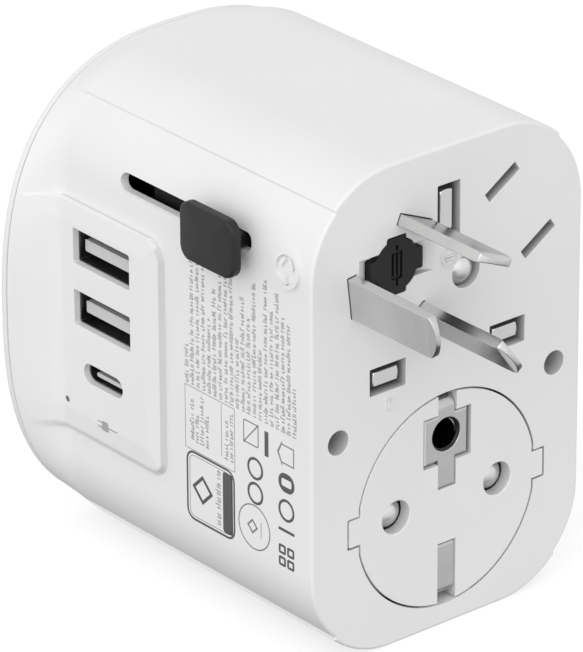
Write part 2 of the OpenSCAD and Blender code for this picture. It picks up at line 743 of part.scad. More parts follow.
// The earth contact: one strip with leaves beside each earth opening
module contact_earth() color("goldenrod") translate([0, 0, socket_z]) {
    floor_y = base_y[0] + base_floor;
    box([-1.9, 1.9], [floor_y, floor_y + strip_t], [-17.9, 27.6]);
    for (side = [-1, 1]) {
        box([side * 3 - 0.25, side * 3 + 0.25], [floor_y, 54], [9, 26.8]);
        box([side * 2.5 - 0.7, side * 2.5 + 0.7], [floor_y, floor_y + strip_t], [9, 26.8]);
        box([side * 1.65 - 0.25, side * 1.65 + 0.25], [floor_y, 54], [-17.6, -10.6]);
    }
    box([-1.5, 1.5], [33.1, floor_y + e], [23.75, 24.25]);
}

// Sliding plate that covers the live and neutral openings
module shutter() color("#303030") depth(shutter_y[0], shutter_y[1]) translate([0, socket_z]) {
    for (side = [-1, 1]) translate([side * 9.9, 0]) square([10.8, 8.2], center = true);
    translate([-5, 1]) square([10, 3.1]);
}

// A helical wire of one spring, swept as an eight-sided tube
module spring() {
    sides = 8;
    per_turn = 12;
    n = spring_turns * per_turn;
    rise = spring_z[1] - spring_z[0] - 2 * spring_wire_r;
    rings = [for (i = [0:n], k = [0:sides - 1])
        let (turn = 360 * i / per_turn, lean = 360 * k / sides, r = spring_r + spring_wire_r * cos(lean))
        [r * cos(turn), r * sin(turn), spring_wire_r + rise * i / n + spring_wire_r * sin(lean)]];
    sides_faces = [for (i = [0:n - 1], k = [0:sides - 1])
        let (a = i * sides + k, b = i * sides + (k + 1) % sides)
        each [[a, a + sides, b + sides], [a, b + sides, b]]];
    start = [for (k = [0:sides - 1]) k];
    end = [for (k = [sides - 1:-1:0]) n * sides + k];
    polyhedron(rings, concat(sides_faces, [start, end]));
}
module shutter_springs() color("silver") for (side = [-1, 1])
    translate([side * spring_x, (shutter_y[0] + shutter_y[1]) / 2, spring_z[0]]) spring();

// Strips on the back of the chassis that link the sliders to the socket
module live_busbar() color("goldenrod") {
    box([8, 18], [plate_y[1], plate_y[1] + 0.8], [socket_z - 2, socket_z + 2]);
    box([14, 17], [plate_y[1], plate_y[1] + 0.8], [socket_z - 12, socket_z - 2 + e]);
}
module neutral_busbar() color("goldenrod") {
    box([-12, -8], [plate_y[1], plate_y[1] + 0.8], [socket_z - 2, socket_z + 10]);
    box([-19, -12 + e], [plate_y[1], plate_y[1] + 0.8], [socket_z + 6, socket_z + 10]);
}
module earth_busbar() color("goldenrod") {
    box([-2, 2], [plate_y[1], plate_y[1] + 0.8], [socket_z - 10, socket_z + 23]);
    box([-2, 2], [plate_y[1], plate_y[1] + 0.8], [socket_z + 23.5, socket_z + 26]);
}

// ---- Charging module ----

module usb_board() color("darkgreen") {
    depth(board_y, board_y + board_t) difference() {
        translate([-13.9, 19.8]) rounded([18.6, 31], 1);
        translate([-9.6, socket_z]) square([3.6, 1.2], center = true);
    }
    for (z = usb_a_z) box([-7.6, -5.2], [board_y - 1.2, board_y + e], [z - 2, z + 2]);
    box([-14, -10], [board_y - 1.2, board_y + e], [usb_c_z - 2, usb_c_z + 2]);
}

// A port shell: a formed tube open on the outside, standing on the board
module port_shell(size, r, z) color("silver") {
    outer = size + 2 * [shell_t, shell_t];
    x0 = pad_x + shell_setback;
    difference() {
        across(x0, x0 + port_depth) translate([port_y, z]) rounded(outer, r + shell_t);
        across(x0 - 1, x0 + port_depth - shell_t) translate([port_y, z]) rounded(size, r);
    }
}
module usb_a_shell(z) port_shell(usb_a_inside, 0.3, z);
module usb_a_shell_upper() usb_a_shell(usb_a_z[0]);
module usb_a_shell_lower() usb_a_shell(usb_a_z[1]);
module usb_c_shell() port_shell(usb_c_inside, usb_c_inside[1] / 2 - 0.1, usb_c_z);

// The tongue that carries a port's contacts
module port_tongue(size, z, tip_x) color("gray")
    across(tip_x, pad_x + shell_setback + port_depth - shell_t) translate([port_y, z]) rounded(size, 0.25);
module usb_a_tongue_upper() port_tongue(usb_a_tongue, usb_a_z[0] - 0.17, pad_x + 1.65);
module usb_a_tongue_lower() port_tongue(usb_a_tongue, usb_a_z[1] - 0.17, pad_x + 1.65);
module usb_c_tongue() port_tongue(usb_c_tongue, usb_c_z - 0.35, pad_x + 1.3);
module light_pipe() color("lightcyan")
    across(pad_x + 0.1, -inner_x + 3) translate(light_pos) circle(light_r - 0.03);

// Board across the bottom of the case that carries the power supply
module power_board() color("darkgreen") {
    z = 0.9 + wall - round_z;
    upright(z, z + board_t) translate([0, 45.5]) rounded([28, 23], 1);
    box([-12, -6], [50, 55], [z + board_t - e, z + board_t + 2]);
}
power_top_z = 0.9 + wall - round_z + board_t;
module transformer_core() color("#404040") difference() {
    box([-4, 12], [36, 48], [power_top_z, power_top_z + 9.6]);
    box([-4 - e, 12 + e], [38, 46], [power_top_z + 1.6, power_top_z + 8]);
}
module transformer_coil() color("gold") box([-2, 10], [38.1, 45.9], [power_top_z + 1.7, power_top_z + 7.9]);
module capacitors() color("midnightblue") for (y = [38.6, 45.2])
    translate([-13, y, power_top_z + 3.2]) rotate([0, 90, 0]) cylinder(r = 3.1, h = 8.4);

in_plug_frame() main_housing();
in_plug_frame() rear_cover();
in_plug_frame() chassis();
in_plug_frame() case_screws();
in_plug_frame() slant_carriage();
in_plug_frame() slant_live_blade();
in_plug_frame() slant_neutral_blade();
in_plug_frame() slant_earth_blade();
in_plug_frame() slant_rail();
in_plug_frame() slant_knob();
in_plug_frame() row_carriage();
in_plug_frame() row_live_pin();
in_plug_frame() row_neutral_pin();
in_plug_frame() row_earth_pin();
in_plug_frame() row_pin_sleeves();
in_plug_frame() row_rail();
in_plug_frame() row_knob();
in_plug_frame() parallel_carriage();
in_plug_frame() parallel_live_blade();
in_plug_frame() parallel_neutral_blade();
in_plug_frame() parallel_ground_pin();
in_plug_frame() parallel_rail();
in_plug_frame() parallel_knob();
in_plug_frame() round_plug_cup();
in_plug_frame() round_earth_socket();
in_plug_frame() round_earth_clip();
in_plug_frame() round_pin_carriage();
in_plug_frame() round_live_pin();
in_plug_frame() round_neutral_pin();
in_plug_frame() round_rail();
in_plug_frame() round_knob();
in_plug_frame() fuse_cap();
in_plug_frame() fuse_tube();
in_plug_frame() fuse_end_caps();
in_plug_frame() fuse_contact();
in_plug_frame() socket_base();
in_plug_frame() contact_live();
in_plug_frame() contact_neutral();
in_plug_frame() contact_earth();
in_plug_frame() shutter();
in_plug_frame() shutter_springs();
in_plug_frame() live_busbar();
in_plug_frame() neutral_busbar();
in_plug_frame() earth_busbar();
in_plug_frame() usb_board();
in_plug_frame() usb_a_shell_upper();
in_plug_frame() usb_a_shell_lower();
in_plug_frame() usb_a_tongue_upper();
in_plug_frame() usb_a_tongue_lower();
in_plug_frame() usb_c_shell();
in_plug_frame() usb_c_tongue();
in_plug_frame() light_pipe();
in_plug_frame() power_board();
in_plug_frame() transformer_core();
in_plug_frame() transformer_coil();
in_plug_frame() capacitors();
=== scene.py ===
"""Universal travel adapter: the looks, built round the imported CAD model.

Pieces are drawn in the plug frame, in millimetres: x to the right and z up from
the centre of the round plug, and y as the depth behind the pin face.
"""

import math
import random

import bmesh
import bpy
import numpy as np
from mathutils import Matrix, Vector


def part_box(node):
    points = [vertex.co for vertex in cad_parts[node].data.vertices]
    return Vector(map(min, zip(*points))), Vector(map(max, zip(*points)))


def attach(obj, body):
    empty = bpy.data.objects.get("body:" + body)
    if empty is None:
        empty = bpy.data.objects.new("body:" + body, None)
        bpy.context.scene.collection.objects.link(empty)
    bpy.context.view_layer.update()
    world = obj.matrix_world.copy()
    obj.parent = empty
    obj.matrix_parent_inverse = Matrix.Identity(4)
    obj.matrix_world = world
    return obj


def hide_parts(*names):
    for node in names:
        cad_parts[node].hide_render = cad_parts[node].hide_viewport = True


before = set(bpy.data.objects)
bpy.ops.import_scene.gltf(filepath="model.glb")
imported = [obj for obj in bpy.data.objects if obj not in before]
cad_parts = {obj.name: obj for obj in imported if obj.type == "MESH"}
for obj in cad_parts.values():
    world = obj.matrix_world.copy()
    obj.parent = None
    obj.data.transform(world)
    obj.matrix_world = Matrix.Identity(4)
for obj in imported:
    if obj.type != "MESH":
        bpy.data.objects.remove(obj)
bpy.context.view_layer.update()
random.seed(7)

# ---- Where the plug frame lies in the part's frame ----

MM = 0.001
case_lo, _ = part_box("main_housing")
cup_lo, cup_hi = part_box("round_plug_cup")
FACE_Y = case_lo.y
ROUND_Z = (cup_lo.z + cup_hi.z) / 2
PLACE = Matrix.Translation((0, FACE_Y, ROUND_Z)) @ Matrix.Scale(MM, 4)


def cad(node):
    """A CAD node's box in the plug frame, in millimetres."""
    lo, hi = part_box(node)
    back = PLACE.inverted()
    return back @ lo, back @ hi


# ---- Sizes, in millimetres ----

HALF_W = 25.4
HALF_H = 37.45
MID_Z = (cad("main_housing")[0].z + cad("main_housing")[1].z) / 2
CORNER = 15.0
REAR_HALF = 32.5  # half width of the flared rim
RIM_POWER = 2.55  # the rim's outline is a superellipse of this power
WALL = 1.8
FACE_T = 2.4
EDGE = 0.5
RECESS = 0.35  # how far the side panels lie below the top and bottom
CREASE = 46.0  # the angle on a corner where its panel ends, in degrees
RECESS_END = (54.0, 60.0)  # depths over which the recess runs out
COVER_Y = 60.2
BACK_Y = 61.7
PAD_X = -26.3
PANEL_X = HALF_W - RECESS
PAD_FOOT = (32.3, -1.8, 35.8)  # front, bottom and top of the port pad's foot
PAD_WALLS = (0.42, 1.7, 0.22)  # widths of its front, bottom and top walls
PAD_WALL_H = 0.97
PAD_BAND = 2.8  # width of the low crown inside the walls
PAD_CORNER = 3.2
PAD_END = (55.5, 60.1)  # depths over which the pad runs out
STRAIGHT = HALF_H - CORNER
FLAT_X = HALF_W - CORNER

# ---- Outlines ----


def turned(points, at=(0, 0), turn=0.0):
    """Points turned by an angle in degrees and moved."""
    c, s = math.cos(math.radians(turn)), math.sin(math.radians(turn))
    p = np.asarray(points, float)
    return np.stack([p[:, 0] * c - p[:, 1] * s + at[0], p[:, 0] * s + p[:, 1] * c + at[1]], 1)


def disc(r, at=(0, 0), n=64):
    """A circle as a function of the offset from its outline."""
    a = np.linspace(0, 2 * math.pi, n, endpoint=False)
    return lambda off=0.0: np.stack([at[0] + (r + off) * np.cos(a), at[1] + (r + off) * np.sin(a)], 1)


def bar(w, h, r=0.2, at=(0, 0), turn=0.0, n=6):
    """A rounded rectangle as a function of the offset from its outline."""

    def outline(off=0.0):
        rr = max(r + off, 0.02)
        a, b = w / 2 + off - rr, h / 2 + off - rr
        q = np.linspace(0, math.pi / 2, n)
        points = []
        for k, (sx, sz) in enumerate([(1, 1), (-1, 1), (-1, -1), (1, -1)]):
            t = q + k * math.pi / 2
            points += [(sx * a + rr * math.cos(v), sz * b + rr * math.sin(v)) for v in t]
        return turned(points, at, turn)

    return outline


def polygon(points):
    """A fixed outline that ignores the offset."""
    p = np.asarray(points, float)
    return lambda off=0.0: p


# ---- Solids ----

OUTSIDE = 1.5  # how far a cutter starts outside the surface


def mesh_object(name, verts, faces):
    """An object with merged points and outward normals."""
    mesh = bpy.data.meshes.new(name)
    mesh.from_pydata([tuple(v) for v in verts], [], faces)
    bm = bmesh.new()
    bm.from_mesh(mesh)
    bmesh.ops.remove_doubles(bm, verts=bm.verts, dist=1e-5)
    bmesh.ops.recalc_face_normals(bm, faces=bm.faces)
    bm.to_mesh(mesh)
    bm.free()
    obj = bpy.data.objects.new(name, mesh)
    bpy.context.scene.collection.objects.link(obj)
    return obj


def loft(name, rings):
    """A closed solid through rings with the same number of points."""
    n, m = len(rings[0]), len(rings)
    verts = np.concatenate(rings)
    faces = [
        (k * n + i, k * n + (i + 1) % n, (k + 1) * n + (i + 1) % n, (k + 1) * n + i)
        for k in range(m - 1)
        for i in range(n)
    ]
    faces += [tuple(range(n)), tuple((m - 1) * n + i for i in range(n))]
    return mesh_object(name, verts, faces)


def spread(points, pos, axis):
    """The points of an outline, placed at a position along an axis."""
    p = np.asarray(points, float)
    at = np.full(len(p), float(pos))
    places = {"y": (p[:, 0], at, p[:, 1]), "x": (at, p[:, 0], p[:, 1]), "z": (p[:, 0], p[:, 1], at)}
    return np.stack(places[axis], 1)


def prism(shape, stations, axis="y"):
    """A solid along an axis through (position, offset) stations of one outline."""
    return loft("prism", [spread(shape(off), pos, axis) for pos, off in stations])


def slab(shape, a, b, axis="y"):
    """A solid with one outline from a to b along an axis."""
    return prism(shape, [(a, 0.0), (b, 0.0)], axis)


def rounded_edge(start, r, steps=4):
    """Stations of an outer edge rounded with radius r."""
    a = np.linspace(0, math.pi / 2, steps + 1)
    return [(start + r * (1 - math.cos(v)), -r * (1 - math.sin(v))) for v in a]


def hole_edge(start, r, steps=3):
    """Stations of a cutter that starts outside the surface and whose mouth is rounded with radius r."""
    a = np.linspace(0, math.pi / 2, steps + 1)
    mouth = [(start + r * (1 - math.cos(v)), r * (1 - math.sin(v))) for v in a]
    return [(start - OUTSIDE, r)] + mouth


def apply_modifiers(obj):
    """Replaces an object's mesh with what its modifiers make of it."""
    dg = bpy.context.evaluated_depsgraph_get()
    mesh = bpy.data.meshes.new_from_object(obj.evaluated_get(dg))
    old = obj.data
    obj.modifiers.clear()
    obj.data = mesh
    bpy.data.meshes.remove(old)
    return obj


def combine(obj, other, operation):
    """A boolean of two solids that uses up the second."""
    mod = obj.modifiers.new("combine", "BOOLEAN")
    mod.object = other
    mod.operation = operation
    mod.solver = "MANIFOLD"
    apply_modifiers(obj)
    if len(obj.data.polygons) == 0:
        raise ValueError(f"a {operation} left nothing of {obj.name}")
    bpy.data.objects.remove(other)


def cut(obj, *others):
    for other in others:
        combine(obj, other, "DIFFERENCE")
    return obj


def join(obj, *others):
    for other in others:
        combine(obj, other, "UNION")
    return obj


def keep_common(obj, *others):
    for other in others:
        combine(obj, other, "INTERSECT")
    return obj


def merge(objs):
    """One mesh object out of several that don't touch."""
    base = objs[0]
    bm = bmesh.new()
    for o in objs:
        bm.from_mesh(o.data)
    bm.to_mesh(base.data)
    bm.free()
    for o in objs[1:]:
        bpy.data.objects.remove(o)
    return base


def piece(obj, name, body, material, replaced=(), sharp=32.0, weighted=True):
    obj.name = name
    obj.data.name = name
    obj.data.transform(PLACE)
    obj.data.materials.clear()
    obj.data.materials.append(material)
    obj.data.shade_smooth()
    obj.data.set_sharp_from_angle(angle=math.radians(sharp))
    if weighted:
        mod = obj.modifiers.new("normals", "WEIGHTED_NORMAL")
        mod.mode = "FACE_AREA_WITH_ANGLE"
        mod.weight = 60
        mod.keep_sharp = True
    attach(obj, body)
    if replaced:
        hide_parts(*replaced)
    return obj


def shade_faces(obj, material, chosen):
    """Adds a material and gives it to the faces that chosen(centre, normal) picks, in the plug frame."""
    obj.data.materials.append(material)
    back = PLACE.inverted()
    for face in obj.data.polygons:
        if chosen(back @ face.center, face.normal):
            face.material_index = len(obj.data.materials) - 1


# ---- Materials ----


class Nodes:
    """A material's node tree with short calls for the nodes used here."""

    def __init__(self, name, **values):
        self.material = bpy.data.materials.new(name)
        self.material.use_nodes = True
        self.tree = self.material.node_tree
        self.shader = self.tree.nodes["Principled BSDF"]
        for key, value in values.items():
            self.shader.inputs[key.replace("_", " ")].default_value = value
        self.coords = self.node("ShaderNodeTexCoord").outputs["Object"]

    def node(self, kind, **settings):
        made = self.tree.nodes.new(kind)
        for key, value in settings.items():
            setattr(made, key, value)
        return made

    def wire(self, out, into):
        self.tree.links.new(out, into)

    def stretched(self, scale):
        made = self.node("ShaderNodeMapping")
        made.inputs["Scale"].default_value = scale
        self.wire(self.coords, made.inputs["Vector"])
        return made.outputs["Vector"]

    def noise(self, scale, detail=2.0, rough=0.5, vector=None):
        made = self.node("ShaderNodeTexNoise")
        made.inputs["Scale"].default_value = scale
        made.inputs["Detail"].default_value = detail
        made.inputs["Roughness"].default_value = rough
        self.wire(vector or self.coords, made.inputs["Vector"])
        return made.outputs["Fac"]

    def remap(self, value, low, high, start=0.3, end=0.7):
        made = self.node("ShaderNodeMapRange")
        made.inputs["From Min"].default_value = start
        made.inputs["From Max"].default_value = end
        made.inputs["To Min"].default_value = low
        made.inputs["To Max"].default_value = high
        self.wire(value, made.inputs["Value"])
        return made.outputs["Result"]

    def mix(self, amount, dark, light):
        made = self.node("ShaderNodeMix", data_type="RGBA")
        made.inputs[6].default_value = (*dark, 1)
        made.inputs[7].default_value = (*light, 1)
        self.wire(amount, made.inputs[0])
        return made.outputs[2]

    def add(self, first, second, weight=1.0):
        made = self.node("ShaderNodeMath", operation="MULTIPLY_ADD")
        made.inputs[1].default_value = weight
        self.wire(second, made.inputs[0])
        self.wire(first, made.inputs[2])
        return made.outputs[0]

    def bump(self, height, depth, strength=1.0):
        made = self.node("ShaderNodeBump")
        made.inputs["Distance"].default_value = depth
        made.inputs["Strength"].default_value = strength
        self.wire(height, made.inputs["Height"])
        self.wire(made.outputs["Normal"], self.shader.inputs["Normal"])

    def colour(self, out):
        self.wire(out, self.shader.inputs["Base Color"])

    def roughness(self, out):
        self.wire(out, self.shader.inputs["Roughness"])


def moulded(name, base, tint, rough, grain=5200.0, depth=0.000012, gloss=0.5):
    """Moulded plastic: spark-eroded grain, faint flow marks and uneven gloss."""
    m = Nodes(name, Specular_IOR_Level=gloss, IOR=1.5)
    fine = m.noise(grain, 3.0, 0.55)
    broad = m.noise(38.0, 2.0)
    m.colour(m.mix(m.remap(broad, 0.0, 1.0), base, tint))
    m.roughness(m.add(m.remap(broad, rough - 0.03, rough + 0.03), m.remap(fine, -0.04, 0.04)))
    m.bump(fine, depth)
    return m.material


def plated(name, base, tint, rough, along=(90.0, 90.0, 900.0), depth=0.000004):
    """Satin nickel: polishing marks in one direction over a faint cloudiness."""
    m = Nodes(name, Metallic=1.0)
    marks = m.noise(1.0, 4.0, 0.6, m.stretched(along))
    cloud = m.noise(260.0, 2.0)
    m.colour(m.mix(m.remap(cloud, 0.0, 1.0), base, tint))
    m.roughness(m.add(m.remap(marks, rough - 0.05, rough + 0.06), m.remap(cloud, -0.02, 0.02)))
    m.bump(marks, depth)
    return m.material


def recess(name, near, far, depth):
    """Shell plastic with painted shade: its colour darkens with the depth of an opening in the pin face."""
    face_plane = PLACE.translation.y
    m = Nodes(name, Specular_IOR_Level=0.25, IOR=1.5)
    split = m.node("ShaderNodeSeparateXYZ")
    m.wire(m.coords, split.inputs[0])
    m.colour(m.mix(m.remap(split.outputs["Y"], 0.0, 1.0, face_plane, face_plane + depth), near, far))
    m.roughness(m.remap(m.noise(400.0), 0.5, 0.56))
    return m.material


def even(value):
    """The same value three times: a grey, or a grain without a direction."""
    return (value, value, value)


# Shell, inner parts and knobs
WHITE = moulded("white_plastic", even(0.80), even(0.825), 0.42)
# Painted shade: these whites darken with depth on the walls of screw holes, pin holes and face openings
WHITE_WELL_PAINTED_SHADE = recess("white_plastic_screw_hole_painted_shade", even(0.62), even(0.22), 0.008)
WHITE_HOLE_PAINTED_SHADE = recess("white_plastic_pin_hole_painted_shade", even(0.70), even(0.40), 0.003)
WHITE_DEEP_PAINTED_SHADE = recess("white_plastic_recess_painted_shade", even(0.62), even(0.16), 0.0024)
# Painted shade: the same white plastic, darker, for the foot of the port pad's walls
WHITE_PAD_WALL_SHADE = moulded("white_plastic_shaded", even(0.64), even(0.67), 0.5)
WHITE_IN = moulded("white_inner_plastic", (0.72, 0.72, 0.715), (0.76, 0.76, 0.755), 0.5, grain=2600.0)
CHARCOAL = moulded("charcoal_plastic", even(0.008), even(0.012), 0.48, grain=6500.0, depth=0.000022)
CAP_TONES = ((0.006, 0.0063, 0.007), (0.009, 0.0095, 0.0105))
FUSE_BLACK = moulded("fuse_cap_plastic", *CAP_TONES, 0.5, grain=6500.0, depth=0.00002, gloss=0.38)
BLACK = moulded("black_plastic", even(0.004), even(0.007), 0.6, gloss=0.3)
# Painted shade: near-black glossy plastic inside the earth bore, where there is only shade
BORE_PAINTED_SHADE = moulded("bore_painted_shade", even(0.002), even(0.003), 0.16, grain=900.0, depth=0.000002)

# Metal: the tone of a flat depends on what it mirrors, so the blade flats get a lit and a darker copy of one
# nickel: painted reflection
ALONG = (500.0, 40.0, 500.0)
NICKEL = plated("satin_nickel", even(0.56), even(0.585), 0.22, ALONG, 0.0000004)
# Bright nickel for the screws and springs; also painted highlight on the earth plate's left shoulder, the
# bore's leaf and the row pins' tip faces
BRIGHT_NICKEL_AND_HIGHLIGHT = plated("bright_nickel_and_painted_highlight", (0.76, 0.76, 0.755), (0.81, 0.81, 0.805), 0.16, even(260.0), 0.0000008)
NICKEL_PAINTED_LIT = plated("lit_nickel", even(0.64), even(0.67), 0.22, ALONG, 0.0000004)
NICKEL_PAINTED_DARK = plated("nickel_painted_dark", even(0.34), even(0.37), 0.22, ALONG, 0.0000004)
GROUND_MARKS = (700.0, 60.0, 700.0)
# Painted highlight: a lighter nickel with nearly the flats' roughness, for the blades' edges and chamfers
NICKEL_EDGE_HIGHLIGHT = plated("nickel_painted_edge_highlight", (0.67, 0.67, 0.665), (0.72, 0.72, 0.715), 0.2, GROUND_MARKS, 0.000001)
DOMED = plated("domed_nickel", (0.80, 0.80, 0.795), (0.84, 0.84, 0.835), 0.3, even(200.0), 0.0000002)
# Painted shade: a dark nickel for the undersides of the blade tips, the pin bevels and the plate's right
# shoulder
NICKEL_PAINTED_SHADE = plated("shaded_nickel", even(0.20), even(0.24), 0.3, even(400.0), 0.000001)
CONTACT = plated("contact_nickel", even(0.60), even(0.64), 0.24, even(40.0), 0.0000002)
# Painted shade: the port shells' steel is made far darker than steel, for the shade inside the ports
PORT_STEEL_PAINTED_SHADE = plated("port_steel_painted_shade", (0.16, 0.16, 0.165), (0.20, 0.20, 0.205), 0.38, (900.0, 120.0, 900.0))
BRASS = plated("brass_strip", (0.62, 0.42, 0.16), (0.70, 0.50, 0.22), 0.32)

# Electrical parts inside and in the ports
CERAMIC = moulded("ceramic_tube", (0.72, 0.69, 0.62), (0.80, 0.77, 0.70), 0.18, grain=900.0, depth=0.000003)
BOARD = moulded("circuit_board", (0.012, 0.10, 0.035), (0.02, 0.16, 0.05), 0.32, grain=1800.0, depth=0.000008)
FERRITE = moulded("ferrite", (0.035, 0.035, 0.038), (0.06, 0.06, 0.065), 0.7, grain=3000.0, depth=0.00003)
TAPE = moulded("coil_tape", (0.52, 0.36, 0.03), (0.64, 0.46, 0.06), 0.25, grain=700.0, depth=0.000006)
SLEEVE_TONES = ((0.012, 0.02, 0.09), (0.02, 0.035, 0.14))
SLEEVE = moulded("capacitor_sleeve", *SLEEVE_TONES, 0.28, grain=900.0, depth=0.000004)
TONGUE = moulded("port_tongue", (0.56, 0.56, 0.555), (0.62, 0.62, 0.615), 0.36, grain=2600.0)
CLEAR = moulded("light_guide", (0.10, 0.10, 0.105), (0.16, 0.16, 0.165), 0.2, grain=900.0, depth=0.000002)

# Print
PRINT = {"grain": 4200.0, "depth": 0.000004, "gloss": 0.3}
INK = moulded("printed_ink", (0.19, 0.19, 0.195), (0.25, 0.25, 0.255), 0.55, **PRINT)
INK_PALE = moulded("printed_ink_pale", even(0.36), even(0.42), 0.55, **PRINT)
INK_DARK = moulded("printed_ink_dark", (0.085, 0.085, 0.088), (0.12, 0.12, 0.123), 0.55, **PRINT)

# ---- The case: one skin lofted from the pin face round the flare and back inside ----


def ramp(v, low, high):
    """A smooth step from 0 at low to 1 at high."""
    t = min(max((v - low) / (high - low), 0.0), 1.0)
    return t * t * (3 - 2 * t)


def flare(y, start=55.8, soft=1.3):
    """How far the outline has turned into the rim's, from 0 to 1."""
    if y <= start - soft:
        g = 0.0
    elif y < start + soft:
        g = (y - start + soft) ** 2 / (4 * soft)
    else:
        g = y - start
    return g / (COVER_Y - start)


def rim_radius(angle, a, b):
    """The rim's distance from its middle at an angle, with half-sizes a and b."""
    across, up = abs(math.cos(angle)) / a, abs(math.sin(angle)) / b
    return (across**RIM_POWER + up**RIM_POWER) ** (-1 / RIM_POWER)


def rim_across(v, a, b):
    """The rim's other half-size at a distance v from its middle."""
    return a * (1 - (abs(v) / b) ** RIM_POWER) ** (1 / RIM_POWER)


def side_heights(fine):
    """Heights of the columns on a straight side, above the middle; fine ones follow the pad's walls."""
    if not fine:
        return list(np.linspace(-STRAIGHT, STRAIGHT, 19))
    bottom_wall, top_wall = np.arange(-20.6, -14.0, 0.2), np.arange(14.0, 19.4, 0.14)
    marks = [*bottom_wall, *np.linspace(-13.6, 13.6, 13), *top_wall]
    return [-STRAIGHT, -21.5] + marks + [20.2, 21.2, STRAIGHT]


def corner_angles():
    """Angles of a corner's columns, close together on both sides of the crease."""
    plain = [v for v in np.arange(0, 90.1, 3.0) if abs(v - CREASE) > 2.5]
    return sorted(plain + [CREASE + d for d in (-2.2, -1.2, -0.7, -0.35, 0.35, 0.7, 1.2, 2.2)])


def columns():
    """(kind, value, side, up) of each column, once round from the middle of the +X side."""
    right, left, angles = side_heights(False), side_heights(True), corner_angles()
    top = list(np.linspace(FLAT_X, -FLAT_X, 9))[1:-1]
    out = [("side", v, 1, 0) for v in right if v >= 0]
    out += [("corner", a, 1, 1) for a in angles[1:]]
    out += [("flat", v, 0, 1) for v in top]
    out += [("corner", a, -1, 1) for a in reversed(angles)]
    out += [("side", v, -1, 0) for v in reversed(left[1:-1])]
    out += [("corner", a, -1, -1) for a in angles]
    out += [("flat", -v, 0, -1) for v in top]
    out += [("corner", a, 1, -1) for a in reversed(angles)]
    out += [("side", v, 1, 0) for v in right[1:] if v < 0]
    return out


COLUMNS = columns()


def case_point(column, y, inset, detail):
    """A column's point at a depth; detail adds the recessed panels and the port pad."""
    kind, v, side, up = column
    t = flare(y)
    a, b = REAR_HALF - inset, HALF_H - inset
    if kind == "side":
        base, rim, out = (side * (HALF_W - inset), v), (side * rim_across(v, a, b), v), (side, 0)
    elif kind == "flat":
        base, rim, out = (v, up * b), (v, up * rim_across(v, b, a)), (0, up)
    else:
        c, s = math.cos(math.radians(v)), math.sin(math.radians(v))
        r = CORNER - inset
        base = (side * (FLAT_X + r * c), up * (STRAIGHT + r * s))
        low = math.atan2(STRAIGHT, rim_across(STRAIGHT, a, b))
        high = math.atan2(rim_across(FLAT_X, b, a), FLAT_X)
        turn = low + (high - low) * v / 90
        far = rim_radius(turn, a, b)
        rim, out = (side * far * math.cos(turn), up * far * math.sin(turn)), (side * c, up * s)
    x, z = base[0] + (rim[0] - base[0]) * t, base[1] + (rim[1] - base[1]) * t
    if detail:
        sunk = kind == "side" or (kind == "corner" and v < CREASE)
        if sunk:
            depth = RECESS * (1 - ramp(y, *RECESS_END))
            x, z = x - depth * out[0], z - depth * out[1]
        if side < 0 and kind != "flat":
            x -= pad_height(y, z + MID_Z) * (1 - ramp(y, *PAD_END)) * (1.0 if sunk else 0.0)
    return x, z + MID_Z


def pad_height(y, z):
    """Height of the port pad's surface above the side panel."""
    y0, z0, z1 = PAD_FOOT
    front, bottom, top = PAD_WALLS
    r = PAD_CORNER
    cy, low, high = max(y0 + r - y, 0.0), max(z0 + r - z, 0.0), max(z - z1 + r, 0.0)
    far = math.hypot(cy, low, high)
    if far > 0:
        inside = r - far
        width = (cy * cy * front + low * low * bottom + high * high * top) / (far * far)
    else:
        inside, width = r, 1.0
    steps = [(y - y0 - front) / PAD_BAND, (z - z0 - bottom) / PAD_BAND, (z1 - z - top) / PAD_BAND]
    crown = min(max(min(steps), 0.0), 1.0)
    return PAD_WALL_H * ramp(inside, 0.0, width) + (-PAD_X - PANEL_X - PAD_WALL_H) * crown


def case_skin():
    """The case as a closed skin: rows along the outside, then back along the inside."""
    turns = np.linspace(0, math.pi / 2, 7)
    rows = [(EDGE * (1 - math.cos(a)), EDGE * (1 - math.sin(a)), True) for a in turns]
    rows += [(y, 0, True) for y in (1.2, 3, 6, 10, 14, 18, 22, 26, 29, 30.8, 31.6)]
    rows += [(y, 0, True) for y in np.arange(32.0, 36.2, 0.14)]
    rows += [(y, 0, True) for y in (37, 39, 42, 45, 48, 50, 51.5, 52.7, 53.6)]
    rows += [(y, 0, True) for y in np.arange(54.2, 59.7, 0.3)]
    rows += [(y, d, True) for y, d in ((59.85, 0.0), (60.0, 0.02), (60.1, 0.09), (60.14, 0.2), (60.14, 0.7))]
    rows += [(y, WALL, False) for y in (60.14, 59, 58, 57.2, 56.6, 56, 55.4, 54.6, 53, 40, 20, FACE_T)]
    rings = []
    for y, inset, detail in rows:
        rings.append([(x, y, z) for x, z in (case_point(c, y, inset, detail) for c in COLUMNS)])
    return loft("case", [np.array(r) for r in rings])


def face_cut(shape, depth=4.0, r=0.12, start=0.0):
    """A cutter through the pin face with a rounded mouth."""
    return prism(shape, hole_edge(start, r) + [(depth, 0.0)])


def side_cut(shape, side, start, depth=6.0, r=0.12):
    """A cutter into a side wall with a rounded mouth; start is the surface's distance from the middle."""
    stations = [(side * (2 * start - pos), off) for pos, off in hole_edge(start, r)]
    return prism(shape, stations + [(side * (start - depth), 0.0)], "x")


# Middles, turns in degrees and pin distances of the plugs on the pin face
SLANT = (-9.44, 37.57)
SLANT_TURN = 36.6
SLANT_OUT = 7.92
SLANT_EARTH_OUT = 10.31
PARALLEL = (13.32, 40.91)
PARALLEL_TURN = 32.6
PARALLEL_OUT = 6.35
GROUND_OUT = 11.9
ROW_Z = 22.45
PITCH = 22.2
ROUND_OUT = 9.5
CUP_GAP = 0.3  # between the round plug and its opening


